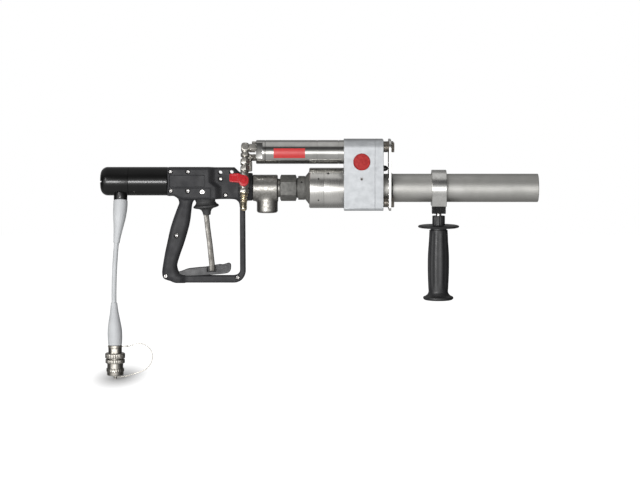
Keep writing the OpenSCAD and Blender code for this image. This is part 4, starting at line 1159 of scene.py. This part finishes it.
# ---------- Air motor ----------

# The spanner flats of the rear cap face downwards by this many degrees
FLAT_LEAN = 12


def make_motor():
    r = 21.4
    place = along_x(0, MOTOR_Z)
    cap = turned("motor_cap_turned", [
        (279.2, r - 1), (280.2, r), (295.2, r), (295.7, r - 0.7)
    ], place, 128, ease=0.4, steps=2)
    flats = []
    for side in (-1, 1):
        flat = build_box("cap_flat", (270, -4, -30), (290.5, 4, 30))
        seat = Matrix.Translation(gun(0, side * 20.5, MOTOR_Z)) @ rotation(side * FLAT_LEAN)
        flat.data.transform(seat @ Matrix.Translation(-gun(0, 0, 0)))
        flats.append(flat)
    carve(cap, *flats)
    fit(bevel(cap, 0.4, 2, 30), "motor_rear_cap")

    fit(turned("motor_cylinder_turned", [
        (295.7, r - 0.7), (296.2, r), (388, r), (388.2, r - 0.9), (388.6, r - 0.9)
    ], place, 160), "motor_cylinder")
    fit(turned("motor_front_turned", [
        (388.6, r - 0.9), (388.9, r - 0.9), (389.1, r), (426.5, r), (426.7, r - 0.9), (427.3, r - 0.9),
        (427.5, r), (436.5, r)
    ], place, 160), "motor_front_ring")

    points, faces = [], []
    low, high, columns = asin(-9.9 / r), asin(7.3 / r), 24
    for level in (r - 0.1, r + 0.22):
        for x in (311, 367):
            for k in range(columns + 1):
                a = low + (high - low) * k / columns
                points.append((x, -level * cos(a), MOTOR_Z + level * sin(a)))
    n = columns + 1
    for k in range(columns):
        faces += [(k, k + 1, n + k + 1, n + k), (2 * n + k, 2 * n + k + 1, 3 * n + k + 1, 3 * n + k)]
        faces += [(k, k + 1, 2 * n + k + 1, 2 * n + k), (n + k, n + k + 1, 3 * n + k + 1, 3 * n + k)]
    for k in (0, columns):
        faces.append((k, n + k, 3 * n + k, 2 * n + k))
    fit(build("motor_label_film", points, faces), "motor_label")


# ---------- Air line ----------

def make_air_line():
    down = air_line()
    # The fittings above the valve stand a little forward of its line
    ex, ey, ez = upright(1.6, 0) @ ELBOW
    upper = upright(1.6, 0) @ down
    clay = Clay((249, -23, 53), (272, -1, 83), 0.4)
    to_line = np.array(AIR_TURN.inverted().to_3x3())
    dx, dy, dz = clay.x - ex, clay.y - ey, clay.z - ez
    ly = to_line[1][1] * dy + to_line[1][2] * dz
    lz = to_line[2][1] * dy + to_line[2][2] * dz
    clay.add(clay.rim(np.sqrt(dx ** 2 + ly ** 2) - 6.3, np.maximum(-9 - lz, lz - 9.6), 1.6))
    clay.add(clay.rim(np.maximum(np.abs(dx), np.maximum(np.abs(ly), np.abs(lz + 0.6))) - 7.2,
                      np.sqrt(dx ** 2 + ly ** 2 + lz ** 2) - 9.4, 0.8), 1)
    clay.add(clay.rod_x(ex, 271, 5.8, ey, ez, edge=0.6), 1.4)
    fit(merge("elbow_fittings", clay.skin("elbow_forged"), *[
        hexagon("elbow_hex_x", along_x(ey, ez), 267, 278.6, 14, 0.08, 10),
        rod("elbow_stub", along_x(ey, ez), 264, 279.3, 5.4, 0.3, 40),
        hexagon("elbow_hex_a", upper, 9.6, 16.4, 14, 0.08),
        rod("elbow_neck", upper, 15, 22, 5.2, 0.6, 40),
        hexagon("elbow_hex_b", upper, 20.6, 31, 15, 0.08, 14),
        rod("elbow_sleeve", upper, 30, 34.6, 6.4, 0.8, 40),
        hexagon("elbow_hex_c", upper, 34, 43.6, 15.4, 0.08, 20),
        rod("elbow_ring_a", down, 43, 46.4, 6.2, 0.4, 40),
        rod("elbow_ring_b", down, 45.6, 53, 8, 1.0, 48),
    ]), "air_elbow")

    body = turned("silencer_sintered", [
        (29, 3.8), (30.4, 4.8), (46, 4.8), (46.4, 4.1), (47.2, 4.1), (47.6, 4.8), (59, 4.8), (60, 3.9)
    ], upright(267, 10), 64, relief=ribbed(8, 0.35, 29, 46, 4.7), ease=0.6)
    nipple = rod("silencer_nipple", along_x(10, 54), 267, 279.3, 4.6, 0.4, 48)
    nut = hexagon("silencer_nut", along_x(10, 54), 271.8, 278.8, 12, 0.08)
    fit(merge("silencer_parts", body, nipple, nut), "exhaust_silencer")
    dress(hexagon("blanking_plug", along_x(7, 80), 271.5, 279.4, 6.5, 0.1), "fitting_steel")

    out = air_line(VALVE_S) @ rotation(-90)
    valve = [(53, 8.2), (54.2, 9.3), (71.4, 9.3), (72.6, 8.2), (73, 7.6), (77.6, 7.6)]
    fit(merge("valve_body_parts", *[
        turned("valve_barrel", valve, down, 72, ease=0.6),
        hexagon("valve_hex", down, 77, 84, 16.2, 0.08, 12),
        rod("valve_neck", out, 4, 10.3, 5.5, 0.6, 48),
    ]), "air_valve")
    fit(rod("ball_stem", out, 3, 15, 2.5, 0.3, 32), "valve_ball", body="valve_handle")
    dress(hexagon("stem_nut", out, 13.4, 15.8, 7.4, 0.1), "red_lever", "valve_handle")

    clay = Clay((-28, 9, -16), (12, 15.5, 14), 0.4)
    arm = arc_corners([
        (0, 5.6, 0), (-9, 5, 3), (-25.6, 3.6, 3), (-25.6, -11.2, 3), (-10, -12.2, 4), (0, -8, 0)
    ])
    dent = arc_corners([(-11, 1.6, 1), (-22.5, 1, 1), (-22.5, -8.4, 1), (-11, -9, 1)])
    clay.add(clay.slab(arm, 1.6, 1.0, 12.1))
    clay.add(clay.rod_y(10.5, 13.9, 8.8, 0, 0, edge=1.2), 2)
    clay.add(clay.rod_y(10.5, 13.9, 8.4, 0, 3.6, edge=1.2), 2)
    clay.cut(clay.rod_y(9, 16, 2.6, 0, 0), 0.4)
    clay.cut(clay.slab(dent, 0.5, 0.3, 13.9))
    fit(clay.skin("lever_dipped", air_line(VALVE_S)), "valve_lever", body="valve_handle")

    fit(turned("nipple_brass", [
        (83, 6.2), (83.8, 7), (89.6, 7), (90.2, 5.4), (91.2, 4.7), (92.6, 5), (94, 6.2), (95.4, 6.2),
        (95.8, 4.9), (97.2, 5), (99, 6.2), (100.6, 6.2), (101, 5.3), (102, 5.7), (113.6, 5.7), (115.3, 4.6),
        (115.3, 2.5), (108, 2.5)
    ], down, 64, relief=ribbed(9, 0.45, 84, 89.4, 6.9), ease=0.25, steps=2), "air_nipple")


# ---------- Side handle ----------

# Above this level the lug of the clamp is bright steel; below it the knurled foot is painted near-black as painted
# shade
LUG_SPLIT = -32.4
LUG_LEAN = radians(18)


def make_side_handle():
    x, half = 607, 13.2
    ring = [(32.5 * cos(a), 32.5 * sin(a)) for a in np.linspace(-LUG_LEAN, pi + LUG_LEAN, 61)]
    foot_half_w = ring[0][0] + (LUG_SPLIT - ring[0][1]) * tan(LUG_LEAN)
    lug = [(-foot_half_w, LUG_SPLIT), (foot_half_w, LUG_SPLIT)]
    clamp = prism("clamp_milled", ring + lug, x - half, x + half, "cross", 0.8)
    carve(clamp, rod("clamp_bore", along_x(), x - 20, x + 20, BARREL_R + 0.05, 0, 128))
    carve(clamp, build_box("clamp_gap", (x - 20, -1, -48), (x + 20, 1, -24)))
    fit(weighted(clamp), "clamp_ring", body="front_handle")

    # The foot of the lug is a block with cross-cut knurling, painted near-black: painted shade standing for the
    # shade in its knurls
    block = Clay((x - 14, -12, -47), (x + 14, 12, LUG_SPLIT + 0.5), 0.35)
    ends = np.maximum(np.abs(block.x - x) - half + 0.3, np.abs(block.y) - 10.8)
    block.add(block.rim(ends, np.abs(block.z - (LUG_SPLIT - 46.6) / 2) - (LUG_SPLIT + 46.6) / 2, 1.2))
    block.d = block.d + (0.7 + 0.7 * cross_cuts(block, KNURL_PITCH)) * (block.z < LUG_SPLIT - 0.6)
    dress(block.skin("lug_knurl_painted_shade"), "black_cap", "front_handle")

    fit(rod("stud_threaded", upright(x, 0), -72, -26, 5, 0.3, 48), "handle_stud", body="front_handle")

    neck_ribs = ribbed(8, 0.7, -66.5, -50.6, 9, 2)

    def shape(station, angle, radius):
        if -184 < station < -76 and radius > 12:
            ends = min(1, (station + 184) / 12, (-76 - station) / 6)
            return radius * (1 - 0.022 * ends * (1 - cos(10 * angle)))
        return neck_ribs(station, angle, radius)

    grip = smooth_line([
        (-76, 16.4), (-80, 16.6), (-97, 17.5), (-118, 18.9), (-139, 19.3), (-160, 18.9), (-180, 18),
        (-186, 17.6), (-189.4, 18.2), (-192.6, 20.2), (-195, 23.4), (-196.2, 26.2)
    ], 5)
    neck = [(-50.2, 10.8), (-50.9, 11.4), (-57, 11.4), (-66.8, 11.4)]
    disc = [(-67.2, 12), (-67.3, 34), (-67.9, 36), (-69.5, 37.2), (-71.1, 36), (-71.7, 34), (-71.8, 14.6),
            (-75.4, 14.6)]
    foot = [(-196.8, 27), (-197.6, 27.3), (-199, 27.3), (-200.6, 26.5), (-201.7, 25), (-202.2, 23.2)]
    handle = turned("handle_moulded", neck + disc + grip + foot, upright(x, 0), 160, relief=shape)
    fit(handle, "side_handle", body="front_handle")


# ---------- Everything together ----------

make_camera()
make_world()
cable, cable_length = make_cable()
make_boot("cable_upper_boot", CABLE_ROUTE[:9], UPPER_BOOT_R)
make_boot("cable_lower_boot", CABLE_ROUTE[15:], LOWER_BOOT_R)
grub_place = make_stock()
make_connector()
lanyard, lanyard_route = make_lanyard()
make_housing(0.75)
make_housing_screws(grub_place)
pin_piece("trigger_pin_ground", "trigger_pin", TRIGGER_PIVOT, 4.3, 24.1)
pin_piece("latch_pin_ground", "latch_pin", LATCH_PIVOT, 3.1, 14.6)
make_trigger()
make_boot_of_trigger()
make_latch()
make_latch_spring()
make_water_block()
make_union()
make_swivel()
make_gearbox()
make_flange()
make_barrel()
make_motor()
make_air_line()
make_side_handle()

for node, part in frame["nodes"].items():
    part.data.materials.clear()
    part.data.materials.append(MATERIALS[SLOTS[node]])

gun(*LANYARD_ROUTE[0])
length_m(lanyard_route)
[gun(*p) for p in lanyard_route]

make_floor(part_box("dust_cap")[0].z - 0.001)
area_light("overhead", gun(500, -80, 700), gun(500, -79.9, 0), (0.68, 0.72), 0.65)
area_light("key", gun(-700, -1500, 500), gun(300, 0, -60), (0.6, 0.6), 8)
area_light("stock_strip", gun(-120, -1500, -30), gun(40, 0, 12), (0.5, 0.13), 11)

bpy.context.scene.view_settings.view_transform = "Standard"
bpy.context.scene.view_settings.look = "None"
